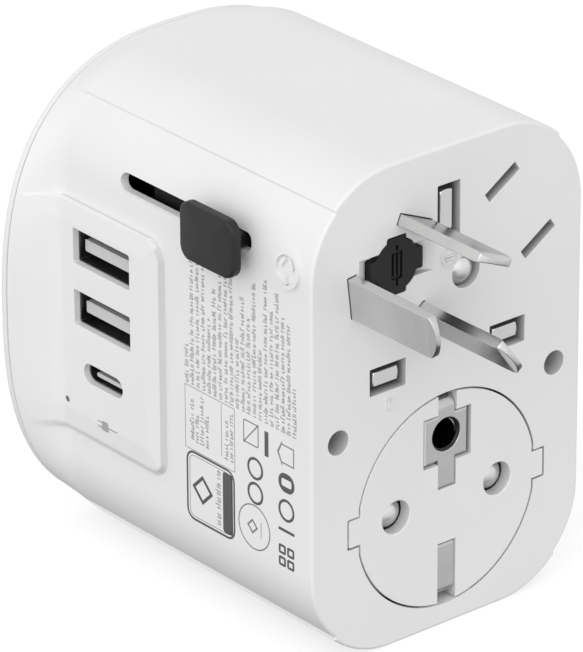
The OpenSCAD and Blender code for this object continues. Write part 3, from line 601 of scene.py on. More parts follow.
def polar(centre, angle, radius):
    """The point at an angle in degrees and a distance from a centre."""
    a = math.radians(angle)
    return (centre[0] + radius * math.cos(a), centre[1] + radius * math.sin(a))


SLANT_BLADES = {
    "slant_live_blade": (polar(SLANT, SLANT_TURN + 150, SLANT_OUT), SLANT_TURN + 240),
    "slant_neutral_blade": (polar(SLANT, SLANT_TURN + 30, SLANT_OUT), SLANT_TURN + 120),
    "slant_earth_blade": (polar(SLANT, SLANT_TURN - 90, SLANT_EARTH_OUT), SLANT_TURN - 90),
}
PARALLEL_BLADES = {
    "parallel_live_blade": polar(PARALLEL, PARALLEL_TURN + 90, PARALLEL_OUT),
    "parallel_neutral_blade": polar(PARALLEL, PARALLEL_TURN - 90, PARALLEL_OUT),
}
GROUND = polar(PARALLEL, PARALLEL_TURN + 180, GROUND_OUT)
FUSE = (-9.55, 39.2)
SCREWS = [(-20.15, 15.1), (20.15, 15.1)]


def cup_shapes(gap):
    """The round plug's outline: a disc with two flats, and two ears."""
    r, flat = 16.5 + gap, 16.1 + gap

    def trimmed(off=0.0):
        rr, ff = r + off, flat + off
        a = math.acos(min(ff / rr, 1.0))
        up = np.linspace(a, math.pi - a, 90)
        down = np.linspace(math.pi + a, 2 * math.pi - a, 90)
        angles = np.concatenate([up, down])
        return np.stack([rr * np.cos(angles), rr * np.sin(angles)], 1)

    return [trimmed, bar(36.4 + 2 * gap, 4.2 + 2 * gap, 0.15)]


def fuse_shapes(gap):
    """The fuse cap's outline: a disc crossed by two bars."""
    return [
        disc(4.05 + gap, FUSE, 72),
        bar(9.7 + 2 * gap, 3.4 + 2 * gap, 0.35, FUSE),
        bar(3.5 + 2 * gap, 8.8 + 2 * gap, 0.35, FUSE),
    ]


case = case_skin()
cutters = [face_cut(bar(6.5, 1.78, 0.08, at, turn), r=0.08) for at, turn in SLANT_BLADES.values()]
cutters += [face_cut(bar(6.6, 4.15, 0.15, (side * PITCH / 2, ROW_Z))) for side in (-1, 1)]
cutters += [face_cut(bar(4.15, 8.6, 0.15, (0, ROW_Z + PITCH)))]
cutters += [face_cut(bar(6.55, 1.6, 0.1, at, PARALLEL_TURN)) for at in PARALLEL_BLADES.values()]
cutters += [face_cut(disc(2.52, GROUND), r=0.2)]
cutters += [face_cut(disc(1.85, at, 48), r=0.15) for at in SCREWS]
cutters += [face_cut(shape, r=0.07) for shape in cup_shapes(CUP_GAP)]
cutters += [face_cut(shape, 1.25, r=0.06) for shape in fuse_shapes(0.06)]
cutters += [face_cut(disc(2.85, FUSE), r=0.0, start=1.0)]
for side in (-1, 1):
    notch = [(6.85, -0.02), (6.7, 0.10), (4.9, 1.12), (3.0, 1.12), (3.0, -1.0), (6.85, -1.0)]
    outline = [(FUSE[0] + side * px, py) for px, py in notch]
    cutters.append(slab(polygon(outline), FUSE[1] - 2.55, FUSE[1] + 2.55, "z"))
cutters += [side_cut(bar(29.3, 2.8, 1.39, (27.75, 42.3)), -1, PANEL_X - 0.2, r=0.1)]
cutters += [side_cut(bar(29.3, 2.8, 1.39, (27.75, z)), 1, PANEL_X, r=0.1) for z in (39.5, ROW_Z)]
cutters += [side_cut(bar(40.4, 2.8, 1.39, (27.6, 0)), 1, PANEL_X, r=0.1)]
cutters += [side_cut(bar(13.0, 5.5, 0.3, (45.5, z)), -1, -PAD_X, r=0.1) for z in (29.25, 19.55)]
cutters += [side_cut(bar(9.1, 3.1, 1.54, (45.5, 9.9)), -1, -PAD_X, r=0.1)]
cutters += [side_cut(disc(0.48, (54.1, 3.9), 24), -1, -PAD_X, r=0.06)]
cut(case, *cutters)
piece(case, "case_shell", "case", WHITE, ["main_housing"])


# All openings but the screw holes lie within HOLES_REACH of a rectangle with these half-sizes
HOLES_HALF = (12.0, 24.0)
HOLES_REACH = 9.5
SCREW_REACH = 2.6


def near_screw(centre):
    return min(math.hypot(centre.x - at[0], centre.z - at[1]) for at in SCREWS) < SCREW_REACH


def is_wall(centre, normal, depth):
    """Faces that run backwards from just behind the pin face, down to a depth."""
    return 0.05 < centre.y < depth and abs(normal.y) < 0.5


def in_face_hole(centre, normal):
    """Walls of the openings in the pin face, and not the outside of the body."""
    if near_screw(centre) or not is_wall(centre, normal, FACE_T + 0.05):
        return False
    px, pz = max(abs(centre.x) - HOLES_HALF[0], 0.0), max(abs(centre.z - MID_Z) - HOLES_HALF[1], 0.0)
    return math.hypot(px, pz) < HOLES_REACH


def on_pad_wall(centre, normal):
    """The lower part of the pad's steep front and top walls, where it meets the side panel; these faces get
    painted shade.
    """
    y0, z0, z1 = PAD_FOOT
    steep = -26.0 < centre.x < -25.0 and normal.x > -0.86
    if not (steep and y0 - 0.5 < centre.y < 57.0 and z0 < centre.z < z1 + 0.6):
        return False
    return centre.y < y0 + 1.2 or (centre.z > z1 - 1.5 and centre.x > -25.4)


# Painted shade along the foot of the port pad's walls
shade_faces(case, WHITE_PAD_WALL_SHADE, on_pad_wall)
# Painted shade: the walls of the pin-face openings and the screw holes darken with depth
shade_faces(case, WHITE_DEEP_PAINTED_SHADE, in_face_hole)
shade_faces(case, WHITE_WELL_PAINTED_SHADE, lambda c, n: is_wall(c, n, FACE_T + 0.05) and near_screw(c))

# Sleeves behind the openings
guide = join(*[slab(s, FACE_T, 8.8) for s in (disc(18.2, n=120), bar(39.0, 7.2, 0.4))])
cut(guide, *[slab(s, 2.0, 9.5) for s in cup_shapes(CUP_GAP)])
tunnel = cut(slab(disc(3.8, FUSE), FACE_T, 25.0), slab(disc(2.85, FUSE), 2.0, 26.0))
wells = [cut(slab(disc(3.2, at), FACE_T, 10.0), slab(disc(1.85, at, 48), 2.0, 11.0)) for at in SCREWS]
sleeves = piece(merge([guide, tunnel, *wells]), "case_sleeves", "case", WHITE)
# Painted shade: the screw wells in the sleeves darken with depth
shade_faces(sleeves, WHITE_WELL_PAINTED_SHADE, lambda c, n: near_screw(c))

# ---- The rear cover ----


def rim_shape(inset):
    """The rim's outline, drawn in by an inset, as a function of the offset."""
    a = np.linspace(0, 2 * math.pi, 220, endpoint=False)

    def outline(off=0.0):
        ra, rb = REAR_HALF - inset + off, HALF_H - inset + off
        r = np.array([rim_radius(v, ra, rb) for v in a])
        return np.stack([r * np.cos(a), MID_Z + r * np.sin(a)], 1)

    return outline


cover = prism(
    rim_shape(0.0),
    [(COVER_Y + 0.06, -0.7), (COVER_Y + 0.06, -0.12), (COVER_Y + 0.14, -0.02), (COVER_Y + 0.24, 0.0)]
    + [(BACK_Y - deep, off) for deep, off in reversed(rounded_edge(0.0, 0.9, 6))],
)
join(cover, slab(rim_shape(2.4), 59.2, 61.0))
join(cover, slab(bar(47, 55, 21.5, (0, 22), n=14), 58.7, 61.0))
SOCKET_Z = 19.5
openings = []
for side in (-1, 1):
    openings.append(disc(2.55, (side * ROUND_OUT, SOCKET_Z), 48))
    openings.append(bar(6.8, 4.3, 0.2, (side * PITCH / 2, SOCKET_Z)))
    openings.append(bar(2.0, 7.2, 0.2, (side * PARALLEL_OUT, SOCKET_Z)))
    slant_x = side * SLANT_OUT * math.cos(math.radians(30))
    openings.append(bar(7.0, 2.0, 0.2, (slant_x, SOCKET_Z), 90 + side * 30))
openings += [bar(4.3, 8.4, 0.2, (0, SOCKET_Z + PITCH)), disc(2.55, (0, SOCKET_Z + GROUND_OUT), 48)]
openings += [bar(2.0, 7.2, 0.2, (0, SOCKET_Z - SLANT_OUT * 0.5 - SLANT_EARTH_OUT))]
lip = [(-1.5, 0.5), (0.0, 0.5), (0.15, 0.15), (0.5, 0.0), (0.8, -0.12), (1.0, -0.5)]
cut(cover, prism(bar(44, 52, 20, (0, 22), n=14), [(BACK_Y - deep, off) for deep, off in lip]))
floor_y = BACK_Y - 1.0
for shape in openings:
    mouth = [(2 * floor_y - pos, off) for pos, off in hole_edge(floor_y, 0.15)]
    cut(cover, prism(shape, mouth + [(58.0, 0.0)]))
piece(cover, "rear_cover_shell", "case", WHITE, ["rear_cover"])

# ---- The round plug ----

cup = prism(cup_shapes(0.0)[0], rounded_edge(0.0, 0.12, 3) + [(21.0, 0.0)])
join(cup, prism(cup_shapes(0.0)[1], rounded_edge(0.0, 0.1, 3) + [(21.0, 0.0)]))
hollow = keep_common(slab(disc(14.9, n=120), 2.0, 22.0), slab(bar(29.0, 40, 0.1), 1.9, 22.5))
cut(cup, hollow)
cut(cup, *[face_cut(disc(2.53, (side * ROUND_OUT, 0)), 3.0, 0.25) for side in (-1, 1)])
cut(cup, face_cut(bar(8.9, 7.8, 0.12, (0, 9.6)), 3.0, 0.08), face_cut(bar(3.4, 16, 0.1, (0, 9.7)), 3.0, 0.08))
cut(cup, face_cut(bar(3.4, 12.2, 0.1, (0, -13.0)), 3.0, 0.08))
cut(cup, slab(bar(3.4, 4, 0.05, (0, 15.5)), -0.5, 10.2), slab(bar(3.4, 4, 0.05, (0, -15.5)), -0.5, 10.2))
piece(cup, "round_plug_shell", "round_cup", WHITE, ["round_plug_cup"])
# Painted shade: the walls of the cup's holes darken with depth
shade_faces(cup, WHITE_HOLE_PAINTED_SHADE, lambda c, n: is_wall(c, n, 2.1) and math.hypot(c.x, c.z) < 15.6)


def strip(path, half, t):
    """A metal strip of even thickness along a path of (y, z) points, as wide as 2 * half."""
    p = np.array(path, float)
    d = np.gradient(p, axis=0)
    d /= np.linalg.norm(d, axis=1)[:, None]
    side = np.stack([-d[:, 1], d[:, 0]], 1) * t
    outline = np.concatenate([p, (p + side)[::-1]])
    return slab(polygon(outline), -half, half, "x")


def arc(centre, r, start, end, n=8):
    """Points of an arc between two angles in degrees."""
    a = np.radians(np.linspace(start, end, n))
    return [(centre[0] + r * math.cos(v), centre[1] + r * math.sin(v)) for v in a]


# Upper earth contact: a plate with a bore, an arm that rolls over the rim, and a lower arm
plate = prism(bar(8.3, 7.4, 0.15, (0, 9.6)), rounded_edge(0.3, 0.55, 6) + [(1.2, 0.0)])
roll = [(0.3, 1.95), (0.3, 8), (0.3, 14.0)] + arc((2.2, 14.0), 1.9, 180, 90, 12) + [(10.0, 15.9)]
arm = strip(roll[::-1], 1.55, 0.7)
join(plate, arm)
join(plate, slab(disc(3.4, (0, 10)), 1.0, 8.0))
cut(plate, prism(disc(2.6, (0, 10), 72), hole_edge(0.3, 0.12) + [(9.0, 0.0)]))
piece(plate, "round_earth_plate", "round_cup", CONTACT, ["round_earth_socket"], weighted=True)
# Painted highlight on the plate's left shoulder, painted shade on its right shoulder
shade_faces(plate, BRIGHT_NICKEL_AND_HIGHLIGHT, lambda c, n: c.y < 0.8 and c.x < -3.7 and n.x < -0.2)
shade_faces(plate, NICKEL_PAINTED_SHADE, lambda c, n: c.y < 1.3 and c.x > 3.8 and n.x > 0.6)
# Painted shade: a black tube lines the metal bore so that it reads dark
bore_shade_tube = slab(disc(2.595, (0, 10), 72), 0.55, 7.9)
cut(bore_shade_tube, prism(disc(2.25, (0, 10), 72), hole_edge(0.55, 0.32, 6) + [(7.4, 0.0)]))
piece(bore_shade_tube, "round_earth_bore_painted_shade", "round_cup", BORE_PAINTED_SHADE)


def highlight_leaf_ring(y, out, inner):
    """One ring of the bright leaf inside the bore, a painted highlight streak, along its outer and back along
    its inner arc.
    """
    t = np.radians(np.linspace(-12, 62, 16))
    swell = 0.12 * np.sin((t - t[0]) / (t[-1] - t[0]) * math.pi)
    near = inner - swell
    ring = [(out * math.cos(v), y, 10 + out * math.sin(v)) for v in t]
    return np.array(ring + [(r * math.cos(v), y, 10 + r * math.sin(v)) for r, v in zip(near[::-1], t[::-1])])


# Painted highlight: a thin bright sheet inside the bore gives the highlight streak there
leaf_steps = ((0.95, 2.22), (1.5, 1.95), (2.4, 1.85), (5.0, 2.15))
leaf = loft("leaf", [highlight_leaf_ring(y, 2.3, inner) for y, inner in leaf_steps])
piece(leaf, "round_earth_highlight_leaf", "round_cup", BRIGHT_NICKEL_AND_HIGHLIGHT, sharp=50)

# Lower earth clip
roll = [(4.0, -7.1)] + arc((1.0, -7.8), 0.7, 90, 180, 8) + [(0.3, -10), (0.3, -14.2)]
roll += arc((1.5, -14.2), 1.2, 180, 270, 8) + [(10.0, -15.4)]
clip = strip(roll, 1.6, 0.7)
piece(clip, "round_earth_strip", "round_cup", CONTACT, ["round_earth_clip"])

# ---- Slanted blades: an arc-shaped tip, ground to a wedge on both flats ----


def blade_solid(width, thick, tip, y0, y1, wedge=1.75, flat=0.75):
    """A blade with a tip of radius tip, thinned over the length wedge to about the thickness flat."""
    reach = math.asin(min(width / 2 / tip, 1.0))
    front = [(tip * math.sin(v), y0 + tip - tip * math.cos(v)) for v in np.linspace(reach, -reach, 25)]
    outline = [(-width / 2, y1), (width / 2, y1)] + front
    body = slab(polygon(outline), -thick / 2, thick / 2, "z")
    h, f = thick / 2, flat / 2
    lower = [(y0 - 0.5, -f + 0.12), (y0 + wedge, -h), (y1 + 1, -h)]
    upper = [(y1 + 1, h), (y0 + wedge, h), (y0 - 0.5, f - 0.12)]
    return keep_common(body, slab(polygon(lower + upper), -width, width, "x"))


def stand(obj, at, turn):
    """Turns a solid about its depth axis, by degrees, and moves it to its place on the pin face."""
    obj.data.transform(Matrix.Translation((at[0], 0, at[1])) @ Matrix.Rotation(-math.radians(turn), 4, "Y"))


def soften(obj, width, segments=2, angle=25.0):
    """Adds a bevel to the edges that turn by more than an angle."""
    mod = obj.modifiers.new("edges", "BEVEL")
    mod.width = width
    mod.segments = segments
    mod.limit_method = "ANGLE"
    mod.angle_limit = math.radians(angle)
    mod.use_clamp_overlap = True
    return obj


for node, (at, turn) in SLANT_BLADES.items():
    lo, hi = cad(node)
    blade = soften(blade_solid(6.3, 1.6, 5.2, lo.y, hi.y), 0.1, 2)
    stand(apply_modifiers(blade), at, turn)
    # Painted reflection: the live blade's flats get the lit nickel, the others the darker copy
    flats = NICKEL_PAINTED_LIT if node == "slant_live_blade" else NICKEL_PAINTED_DARK
    piece(blade, node + "_ground", "slant_plug", flats, [node], sharp=50)
    across_it = Vector((-math.sin(math.radians(turn)), 0, math.cos(math.radians(turn))))
    # Painted highlight on the edges and chamfers, painted shade under the tip
    shade_faces(blade, NICKEL_EDGE_HIGHLIGHT, lambda c, n: abs(n.dot(across_it)) < 0.985)
    shade_faces(blade, NICKEL_PAINTED_SHADE, lambda c, n: c.y < lo.y + 2.5 and abs(n.dot(across_it)) < 0.5 and n.z < -0.2)

# ---- Fuse cap ----

cap = join(*[prism(shape, rounded_edge(0.0, 0.18) + [(1.2, 0.0)]) for shape in fuse_shapes(-0.02)])
join(cap, slab(disc(2.55, FUSE), 1.1, 3.6))
symbol = cut(slab(bar(2.0, 4.2, 0.1, FUSE), -0.5, 0.3), slab(bar(1.1, 3.3, 0.1, FUSE), -1.0, 0.4))
join(symbol, slab(bar(0.45, 6.2, 0.1, FUSE), -0.5, 0.3))
cut(cap, symbol)
piece(cap, "fuse_cap_moulded", "fuse_holder", FUSE_BLACK, ["fuse_cap"])

# ---- Knobs: crowned rounded plates on short necks ----

KNOB_LONG = 12.0


def knob_solid(y, z, side):
    """A knob drawn on the -X side and mirrored for the other."""
    back, front, crown, edge = 27.2, 29.1, 0.42, 0.42
    outline = bar(KNOB_LONG, 8.8, 2.1, (y, z), n=9)
    rings = []
    for pos, off in [(back, -0.25), (back + 0.08, -0.06), (back + 0.25, 0.0)]:
        rings.append([(-pos, p[0], p[1]) for p in outline(off)])
    for k in range(5):
        a = math.pi / 2 * k / 4
        off, pos = -edge * (1 - math.cos(a)), front - edge * (1 - math.sin(a))
        rings.append([(-crowned(pos, p, y, crown), p[0], p[1]) for p in outline(off)])
    for share in (0.93, 0.85, 0.72, 0.55, 0.36, 0.18):
        ring = [((p[0] - y) * share + y, (p[1] - z) * share + z) for p in outline(-edge)]
        rings.append([(-crowned(front, p, y, crown), p[0], p[1]) for p in ring])
    knob = loft("knob", [np.array([(-side * q[0], q[1], q[2]) for q in r]) for r in rings])
    neck = slab(bar(7, 2.4, 0.6, (y, z)), side * 21.4, side * 27.6, "x")
    return join(knob, neck)


def crowned(pos, p, y, crown):
    """A knob surface's distance from the middle of the case, less towards the knob's two ends."""
    return pos - crown * ((p[0] - y) / (KNOB_LONG / 2)) ** 2


for node, side, body in (
    ("slant_knob", -1, "slant_button"),
    ("row_knob", 1, "row_button"),
    ("parallel_knob", 1, "parallel_button"),
    ("round_knob", 1, "round_button"),
):
    lo, hi = cad(node)
    knob = knob_solid((lo.y + hi.y) / 2, (lo.z + hi.z) / 2, side)
    piece(knob, node + "_moulded", body, CHARCOAL, [node], sharp=40)

# ---- CAD nodes that keep their shape ----

FINISHES = {
    BLACK: "chassis slant_rail row_rail parallel_rail round_rail row_pin_sleeves socket_base shutter",
    WHITE_IN: "slant_carriage row_carriage parallel_carriage round_pin_carriage",
    NICKEL: "parallel_live_blade parallel_neutral_blade fuse_end_caps",
    BRIGHT_NICKEL_AND_HIGHLIGHT: "case_screws shutter_springs",
    PORT_STEEL_PAINTED_SHADE: "usb_a_shell_upper usb_a_shell_lower usb_c_shell",
    BRASS: "fuse_contact contact_live contact_neutral contact_earth live_busbar neutral_busbar earth_busbar",
    TONGUE: "usb_a_tongue_upper usb_a_tongue_lower usb_c_tongue",
    CERAMIC: "fuse_tube",
    BOARD: "usb_board power_board",
    FERRITE: "transformer_core",
    TAPE: "transformer_coil",
    SLEEVE: "capacitors",
    CLEAR: "light_pipe",
}
EDGES = {"parallel_live_blade": 0.15, "parallel_neutral_blade": 0.15}
EDGES.update({"usb_a_tongue_upper": 0.12, "usb_a_tongue_lower": 0.12, "usb_c_tongue": 0.05})
for material, names in FINISHES.items():
    for node in names.split():
        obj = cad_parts[node]
        obj.data.materials.clear()
        obj.data.materials.append(material)
        if node in EDGES:
            flat = obj.modifiers.new("flatten", "DECIMATE")
            flat.decimate_type = "DISSOLVE"
            flat.angle_limit = math.radians(1.0)
            soften(obj, EDGES[node] * MM, 3, 30.0)
            weigh = obj.modifiers.new("normals", "WEIGHTED_NORMAL")
            weigh.keep_sharp = True

# ---- Round pins: domed ends ----

DOME = 1.3  # height of the dome
TURNED_R = 2.46
DOME_OUT = 0.4  # how far the dome stands out past the end of the CAD pin


def turned_pin(r, y0, y1, centre):
    """A round pin with a spherical end, from its tip at y0 to y1."""
    ball = (r * r + DOME * DOME) / (2 * DOME)
    turns = np.linspace(0.01, math.asin(r / ball) - 0.03, 14)
    stations = [(y0 + ball * (1 - math.cos(a)), ball * math.sin(a) - r) for a in turns]
    return prism(disc(r, centre, 48), stations + [(y0 + DOME + 0.12, 0.0), (y1, 0.0)])


ROUND_PINS = {
    "round_live_pin": "round_pins",
    "round_neutral_pin": "round_pins",
    "parallel_ground_pin": "parallel_plug",
}
for node, body in ROUND_PINS.items():
    lo, hi = cad(node)
    centre = ((lo.x + hi.x) / 2, (lo.z + hi.z) / 2)
    core = slab(disc(1.9, centre, 48), lo.y + 2, hi.y)
    pin = join(turned_pin(TURNED_R, lo.y - DOME_OUT, hi.y - 3.5, centre), core)
    piece(pin, node + "_turned", body, DOMED, [node])

# ---- Rectangular pins with tapered tips ----

TIP_OUT = 0.2  # how far the tip stands out past the end of the CAD pin
TAIL = {"row_live_pin": 14.5, "row_neutral_pin": 14.5, "row_earth_pin": 5.0}


def tip_ring(at, half_w, half_h, bulge, y, n=9):
    """A rectangle whose short sides bow outwards by bulge, as a ring of 4 * n points."""
    t = np.linspace(-1, 1, n)
    tall = half_h > half_w
    long, short = (half_h, half_w) if tall else (half_w, half_h)
    ends = [(long + bulge * (1 - v * v), short * v) for v in t]
    sides = [(-long * v, short) for v in t[1:-1]]
    ring = ends + sides
    ring += [(-a, -b) for a, b in ring]
    ring = [(-b, a) if tall else (a, b) for a, b in ring]
    return np.array([(at[0] + a, y, at[1] + b) for a, b in ring])


for node, tail in TAIL.items():
    lo, hi = cad(node)
    centre = ((lo.x + hi.x) / 2, (lo.z + hi.z) / 2)
    w, h = hi.x - lo.x, hi.z - lo.z
    root = hi.y - tail
    taper_w, taper_h = (1.05, 0.9) if w > h else (0.9, 1.05)
    # Distance from the tip, what the rounded edge takes away, and the share of the taper
    steps = [(0, -0.14, 1), (0.02, -0.07, 1), (0.07, -0.02, 1), (0.15, 0, 0.98), (1.5, 0, 0.05), (1.75, 0, 0)]
    rings = []
    for deep, grow, share in steps:
        half_w, half_h = w / 2 - taper_w * share + grow, h / 2 - taper_h * share + grow
        rings.append(tip_ring(centre, half_w, half_h, 0.22 * share, lo.y - TIP_OUT + deep))
    pin = loft("pin", rings + [tip_ring(centre, w / 2, h / 2, 0.0, root)])
    join(pin, slab(bar(w - 1, h - 1, 0.2, centre), root - 0.5, hi.y))
    piece(pin, node + "_tapered", "row_plug", NICKEL, [node], sharp=50)
    # Painted shade on the tip's bevels, painted highlight on the tip face and its rounded edge
    shade_faces(pin, NICKEL_PAINTED_SHADE, lambda c, n: c.y < lo.y + 1.5)
    shade_faces(pin, BRIGHT_NICKEL_AND_HIGHLIGHT, lambda c, n: c.y < lo.y - 0.08)

# ---- Printed marks on the -X side: plain shapes and lines of ticks, no letters ----

fine, bold = [], []
INK_SIDES = (-PANEL_X - 0.02, -PANEL_X + 0.01)


def ink(shape, hole=None):
    """A thin printed shape on the side panel, with a hole if one is given."""
    mark = slab(shape, *INK_SIDES, "x")
    return cut(mark, slab(hole, -PANEL_X - 1, -PANEL_X + 1, "x")) if hole else mark


def outline_ink(w, h, r, line, at, turn=0.0):
    """The printed outline of a rounded rectangle, of a line's width."""
    return ink(bar(w, h, r, at, turn), bar(w - 2 * line, h - 2 * line, max(r - line, 0.03), at, turn))


def ring_ink(r, line, at):
    """A printed ring of a line's width."""
    return ink(disc(r, at, 40), disc(r - line, at, 40))


def tick_line(y, z0, z1, height=0.87):
    """A line of small print: upright ticks and short bars with gaps between words."""
    verts, faces = [], []
    z = z0
    while z < z1:
        for _ in range(random.randint(2, 8)):
            if z > z1:
                break
            tall = height * random.choice((0.66, 0.66, 0.72, 1.0))
            strokes = [(y, z, y + tall, z, 0.06)]
            if random.random() < 0.75:
                mid = y + tall * random.choice((0.03, 0.5, 0.95))
                strokes.append((mid, z, mid, z + 0.32, 0.05))
            if random.random() < 0.45:
                strokes.append((y, z + 0.3, y + tall * 0.75, z + 0.3, 0.05))
            for ya, za, yb, zb, half in strokes:
                length = math.hypot(yb - ya, zb - za)
                ny, nz = -(zb - za) / length * half, (yb - ya) / length * half
                k = len(verts)
                for x in INK_SIDES:
                    verts += [(x, ya - ny, za - nz), (x, yb - ny, zb - nz)]
                    verts += [(x, yb + ny, zb + nz), (x, ya + ny, za + nz)]
                faces += [(k, k + 1, k + 2, k + 3), (k + 7, k + 6, k + 5, k + 4)]
                faces += [(k + i, k + 4 + i, k + 4 + (i + 1) % 4, k + (i + 1) % 4) for i in range(4)]
            z += random.uniform(0.5, 0.58)
        z += 0.4
    fine.append(mesh_object("ticks", verts, faces))


# Twenty long lines from the same start, and six short ones beside them
FIRST_LINE = 27.25
LINE_STEP = 1.261
LINE_START = 16.1
LINE_ENDS = [22.2, 36.5, 36.5, 36.5, 27.5, 33.0, 36.5, 36.5, 36.5, 27.2]
LINE_ENDS += [33.3, 30.7, 36.8, 27.2, 38.1, 34.0, 36.9, 33.7, 32.7, 24.0]
for k, end in enumerate(LINE_ENDS):
    tick_line(FIRST_LINE - LINE_STEP * k, LINE_START, end)
SHORT_LINES = [(26.1, 7.4, 13.4), (25.0, 7.2, 12.0), (23.9, 7.3, 15.0)]
SHORT_LINES += [(22.8, 7.2, 12.2), (18.4, 7.1, 13.5), (17.3, 7.1, 14.4)]
for y, low, high in SHORT_LINES:
    tick_line(y, low, high)
fine.append(outline_ink(11.2, 10.0, 0.1, 0.09, (22.5, 10.65)))
fine.append(ink(bar(0.09, 8.2, 0.03, (19.9, 11.25))))
fine.append(outline_ink(9.6, 9.8, 1.1, 0.09, (22.42, 0.02)))
tick_line(20.2, -4.0, 4.4, 1.2)

bold.append(outline_ink(10.9, 11.05, 1.7, 0.34, (22.45, 0.03)))
bold.append(ink(bar(2.2, 9.6, 0.5, (18.6, 0.03))))
bold.append(outline_ink(3.3, 3.3, 0.15, 0.5, (24.3, 0.0), 45))
fine.append(ring_ink(3.55, 0.2, (12.7, -1.34)))
fine.append(outline_ink(1.7, 1.7, 0.1, 0.28, (13.1, -1.34), 45))
fine.append(ink(bar(0.1, 2.6, 0.03, (11.2, -1.34))))
bold += [ring_ink(1.75, 0.42, (12.4, z)) for z in (8.0, 4.1)]
bold.append(ink(bar(0.85, 3.9, 0.1, (9.85, 12.8))))
fine.append(outline_ink(3.4, 3.6, 0.4, 0.2, (13.3, 13.2)))
fine.append(ink(bar(0.2, 5.0, 0.05, (13.3, 13.2), 42)))
bold.append(ink(bar(3.5, 3.0, 1.45, (5.5, 8.3)), bar(2.2, 1.2, 0.3, (5.5, 8.3))))
bold.append(ring_ink(1.75, 0.42, (5.55, 4.0)))
bold.append(ink(bar(3.5, 0.45, 0.1, (5.55, 0.75))))
bold += [outline_ink(1.55, 1.5, 0.3, 0.38, (y, z)) for y in (6.5, 4.65) for z in (-2.4, -4.3)]
house = [(3.8, 11.2), (3.8, 14.2), (6.4, 14.2), (6.4, 14.7), (7.5, 12.7), (6.4, 10.7), (6.4, 11.2)]
core = [(4.0, 11.4), (4.0, 14.0), (6.5, 14.0), (7.15, 12.7), (6.5, 11.4)]
fine.append(ink(polygon(house), polygon(core)))
piece(merge(fine), "print_fine", "case", INK, weighted=False)
piece(merge(bold), "print_bold", "case", INK_DARK, weighted=False)

# A small plug sign on the pad
sign = [bar(1.5, 1.5, 0.3, (45.2, 2.7)), bar(1.0, 0.22, 0.05, (46.4, 3.1)), bar(1.0, 0.22, 0.05, (46.4, 2.3))]
sign.append(bar(2.4, 0.2, 0.05, (43.5, 2.7)))
sign_ink = join(*[slab(shape, PAD_X - 0.015, PAD_X + 0.02, "x") for shape in sign])
piece(sign_ink, "print_port_sign", "case", INK_PALE, weighted=False)

# ---- Raised marks: each slider's plug type as a small sign, and small signs on the pin face ----


def raised_sign(side, shapes, hole=None):
    """Shapes raised a little above the side panel, following its curve."""
    reach = 0.5 if side < 0 else 0.2
    deep = 0.3
    sweep = np.linspace(0, math.radians(44), 12)

    def edge(off):
        r = CORNER - RECESS + off
        top = [(FLAT_X + r * math.cos(a), MID_Z + STRAIGHT + r * math.sin(a)) for a in sweep]
        return [(FLAT_X + r, MID_Z - STRAIGHT)] + top

    strap = slab(polygon([(side * px, pz) for px, pz in edge(reach) + edge(-deep)[::-1]]), -2.0, 30.0)
    marks = [slab(shape, side * 18, side * 28, "x") for shape in shapes]
    if hole:
        cut(marks[0], slab(hole, side * 17, side * 29, "x"))
    return keep_common(join(*marks), strap)


def face_sign(shape, hole=None):
    """A low sign on the pin face, with a hole if one is given."""
    sign = slab(shape, -0.3, 0.1)
    return cut(sign, slab(hole, -1, 1)) if hole else sign


slanted = [bar(0.6, 1.6, 0.2, (5.9, 42.4), 32), bar(0.6, 1.6, 0.2, (4.1, 42.4), -32)]
slanted.append(bar(0.6, 1.6, 0.2, (5.0, 40.1)))
two_round = [bar(0.7, 2.2, 0.2, (y, 40.6)) for y in (4.0, 6.0)] + [disc(0.65, (5.0, 38.2), 24)]
three = [bar(1.9, 0.9, 0.2, (y, ROW_Z - 1.5)) for y in (3.6, 6.4)] + [bar(0.9, 2.0, 0.2, (5.0, ROW_Z + 1.2))]
round_pair = [disc(0.75, (y, 0.0), 24) for y in (2.2, 4.6)]
raised = [raised_sign(-1, [shape]) for shape in slanted]
raised.append(raised_sign(-1, [disc(2.75, (5.0, 41.4), 48)], disc(2.2, (5.0, 41.4), 48)))
raised += [raised_sign(1, [shape]) for shape in two_round + three + round_pair]
face_signs = [face_sign(disc(1.45, (0, 37.7), 40), disc(1.3, (0, 37.7), 40))]
face_signs.append(face_sign(bar(1.5, 0.22, 0.05, (0, 37.9))))
face_signs += [face_sign(bar(1.5 - 0.5 * k, 0.2, 0.05, (0, 37.5 - 0.45 * k))) for k in range(2)]
face_signs += [face_sign(bar(1.2, 1.9, 0.2, (x, 18.4)), bar(0.9, 1.6, 0.1, (x, 18.4))) for x in (-11.1, 11.1)]
piece(merge(raised + face_signs), "raised_signs", "case", WHITE, weighted=True)

# ---- Floor, light and camera ----

bpy.ops.mesh.primitive_plane_add(size=8.0)
floor = bpy.context.object
floor.name = "floor"
FLOOR = Nodes("studio_floor", Roughness=0.9, Specular_IOR_Level=0.1)
FLOOR.shader.inputs["Base Color"].default_value = (*even(0.48), 1)
FLOOR.shader.inputs["Emission Color"].default_value = (*even(1.0), 1)
FLOOR.shader.inputs["Emission Strength"].default_value = 0.6
floor.data.materials.append(FLOOR.material)
floor.visible_diffuse = False
floor.visible_glossy = False

# The world's light: (cosine of the angle from straight up, or from KEY_FROM, and brightness)
SKY = [(-1.0, 0.1), (-0.8, 0.22), (-0.45, 0.72), (0.0, 0.9), (1.0, 0.68)]
KEY_FROM = (-0.58, -0.42, 0.6)
KEY = [(-1.0, 0.0), (0.2, 0.0), (0.6, 0.16), (1.0, 0.6)]


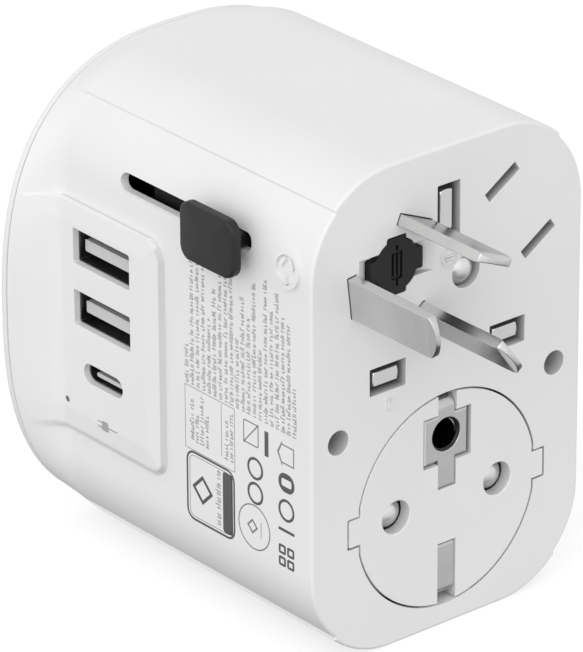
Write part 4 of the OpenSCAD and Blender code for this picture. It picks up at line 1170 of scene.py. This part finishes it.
def studio_world():
    """A soft tent: bright above, dim below, and brightest towards the front left."""
    world = bpy.data.worlds.new("studio")
    world.use_nodes = True
    tree = world.node_tree
    back = tree.nodes["Background"]
    coords = tree.nodes.new("ShaderNodeTexCoord").outputs["Generated"]

    def facing(direction, stops):
        """A brightness that depends on the angle from a direction."""
        dot = tree.nodes.new("ShaderNodeVectorMath")
        dot.operation = "DOT_PRODUCT"
        dot.inputs[1].default_value = Vector(direction).normalized()
        tree.links.new(coords, dot.inputs[0])
        span = tree.nodes.new("ShaderNodeMapRange")
        span.inputs["From Min"].default_value = -1.0
        tree.links.new(dot.outputs["Value"], span.inputs["Value"])
        ramp_node = tree.nodes.new("ShaderNodeValToRGB")
        ramp_node.color_ramp.interpolation = "EASE"
        while len(ramp_node.color_ramp.elements) < len(stops):
            ramp_node.color_ramp.elements.new(0.5)
        for element, (at, level) in zip(ramp_node.color_ramp.elements, stops):
            element.position = (at + 1) / 2
            element.color = (level, level, level, 1)
        tree.links.new(span.outputs["Result"], ramp_node.inputs["Fac"])
        return ramp_node.outputs["Color"]

    both = tree.nodes.new("ShaderNodeVectorMath")
    both.operation = "ADD"
    tree.links.new(facing((0, 0, 1), SKY), both.inputs[0])
    tree.links.new(facing(KEY_FROM, KEY), both.inputs[1])
    tree.links.new(both.outputs[0], back.inputs["Color"])
    back.inputs["Strength"].default_value = 1.0
    bpy.context.scene.world = world


studio_world()


def softbox(name, at, target, size, watts):
    """A round area light that faces a target."""
    light = bpy.data.lights.new(name, "AREA")
    light.shape = "DISK"
    light.size = size
    light.energy = watts
    obj = bpy.data.objects.new(name, light)
    obj.location = at
    obj.rotation_euler = (Vector(target) - Vector(at)).to_track_quat("-Z", "Y").to_euler()
    bpy.context.scene.collection.objects.link(obj)


MIDDLE = (0.0, 0.0, 0.035)
softbox("key", (-0.55, -0.4, 0.5), MIDDLE, size=0.6, watts=0.8)

camera_data = bpy.data.cameras.new("camera")
camera_data.sensor_width = 36.0
camera_data.lens = 329.65
camera_data.shift_x = -0.00064417178
camera_data.shift_y = 0.0015184049
camera_data.clip_start = 0.01
camera_data.clip_end = 50.0
camera = bpy.data.objects.new("camera", camera_data)
right, up, forward = (
    Vector((0.76984826, -0.63820902, -0.00478521)),
    Vector((0.27469928, 0.32457346, 0.90509247)),
    Vector((0.57608503, 0.69809835, -0.42518788)),
)
eye = (-0.499485, -0.592743, 0.403232)
camera.matrix_world = Matrix.Translation(eye) @ Matrix((right, up, -forward)).transposed().to_4x4()
bpy.context.scene.collection.objects.link(camera)
bpy.context.scene.camera = camera
bpy.context.scene.view_settings.view_transform = "Standard"
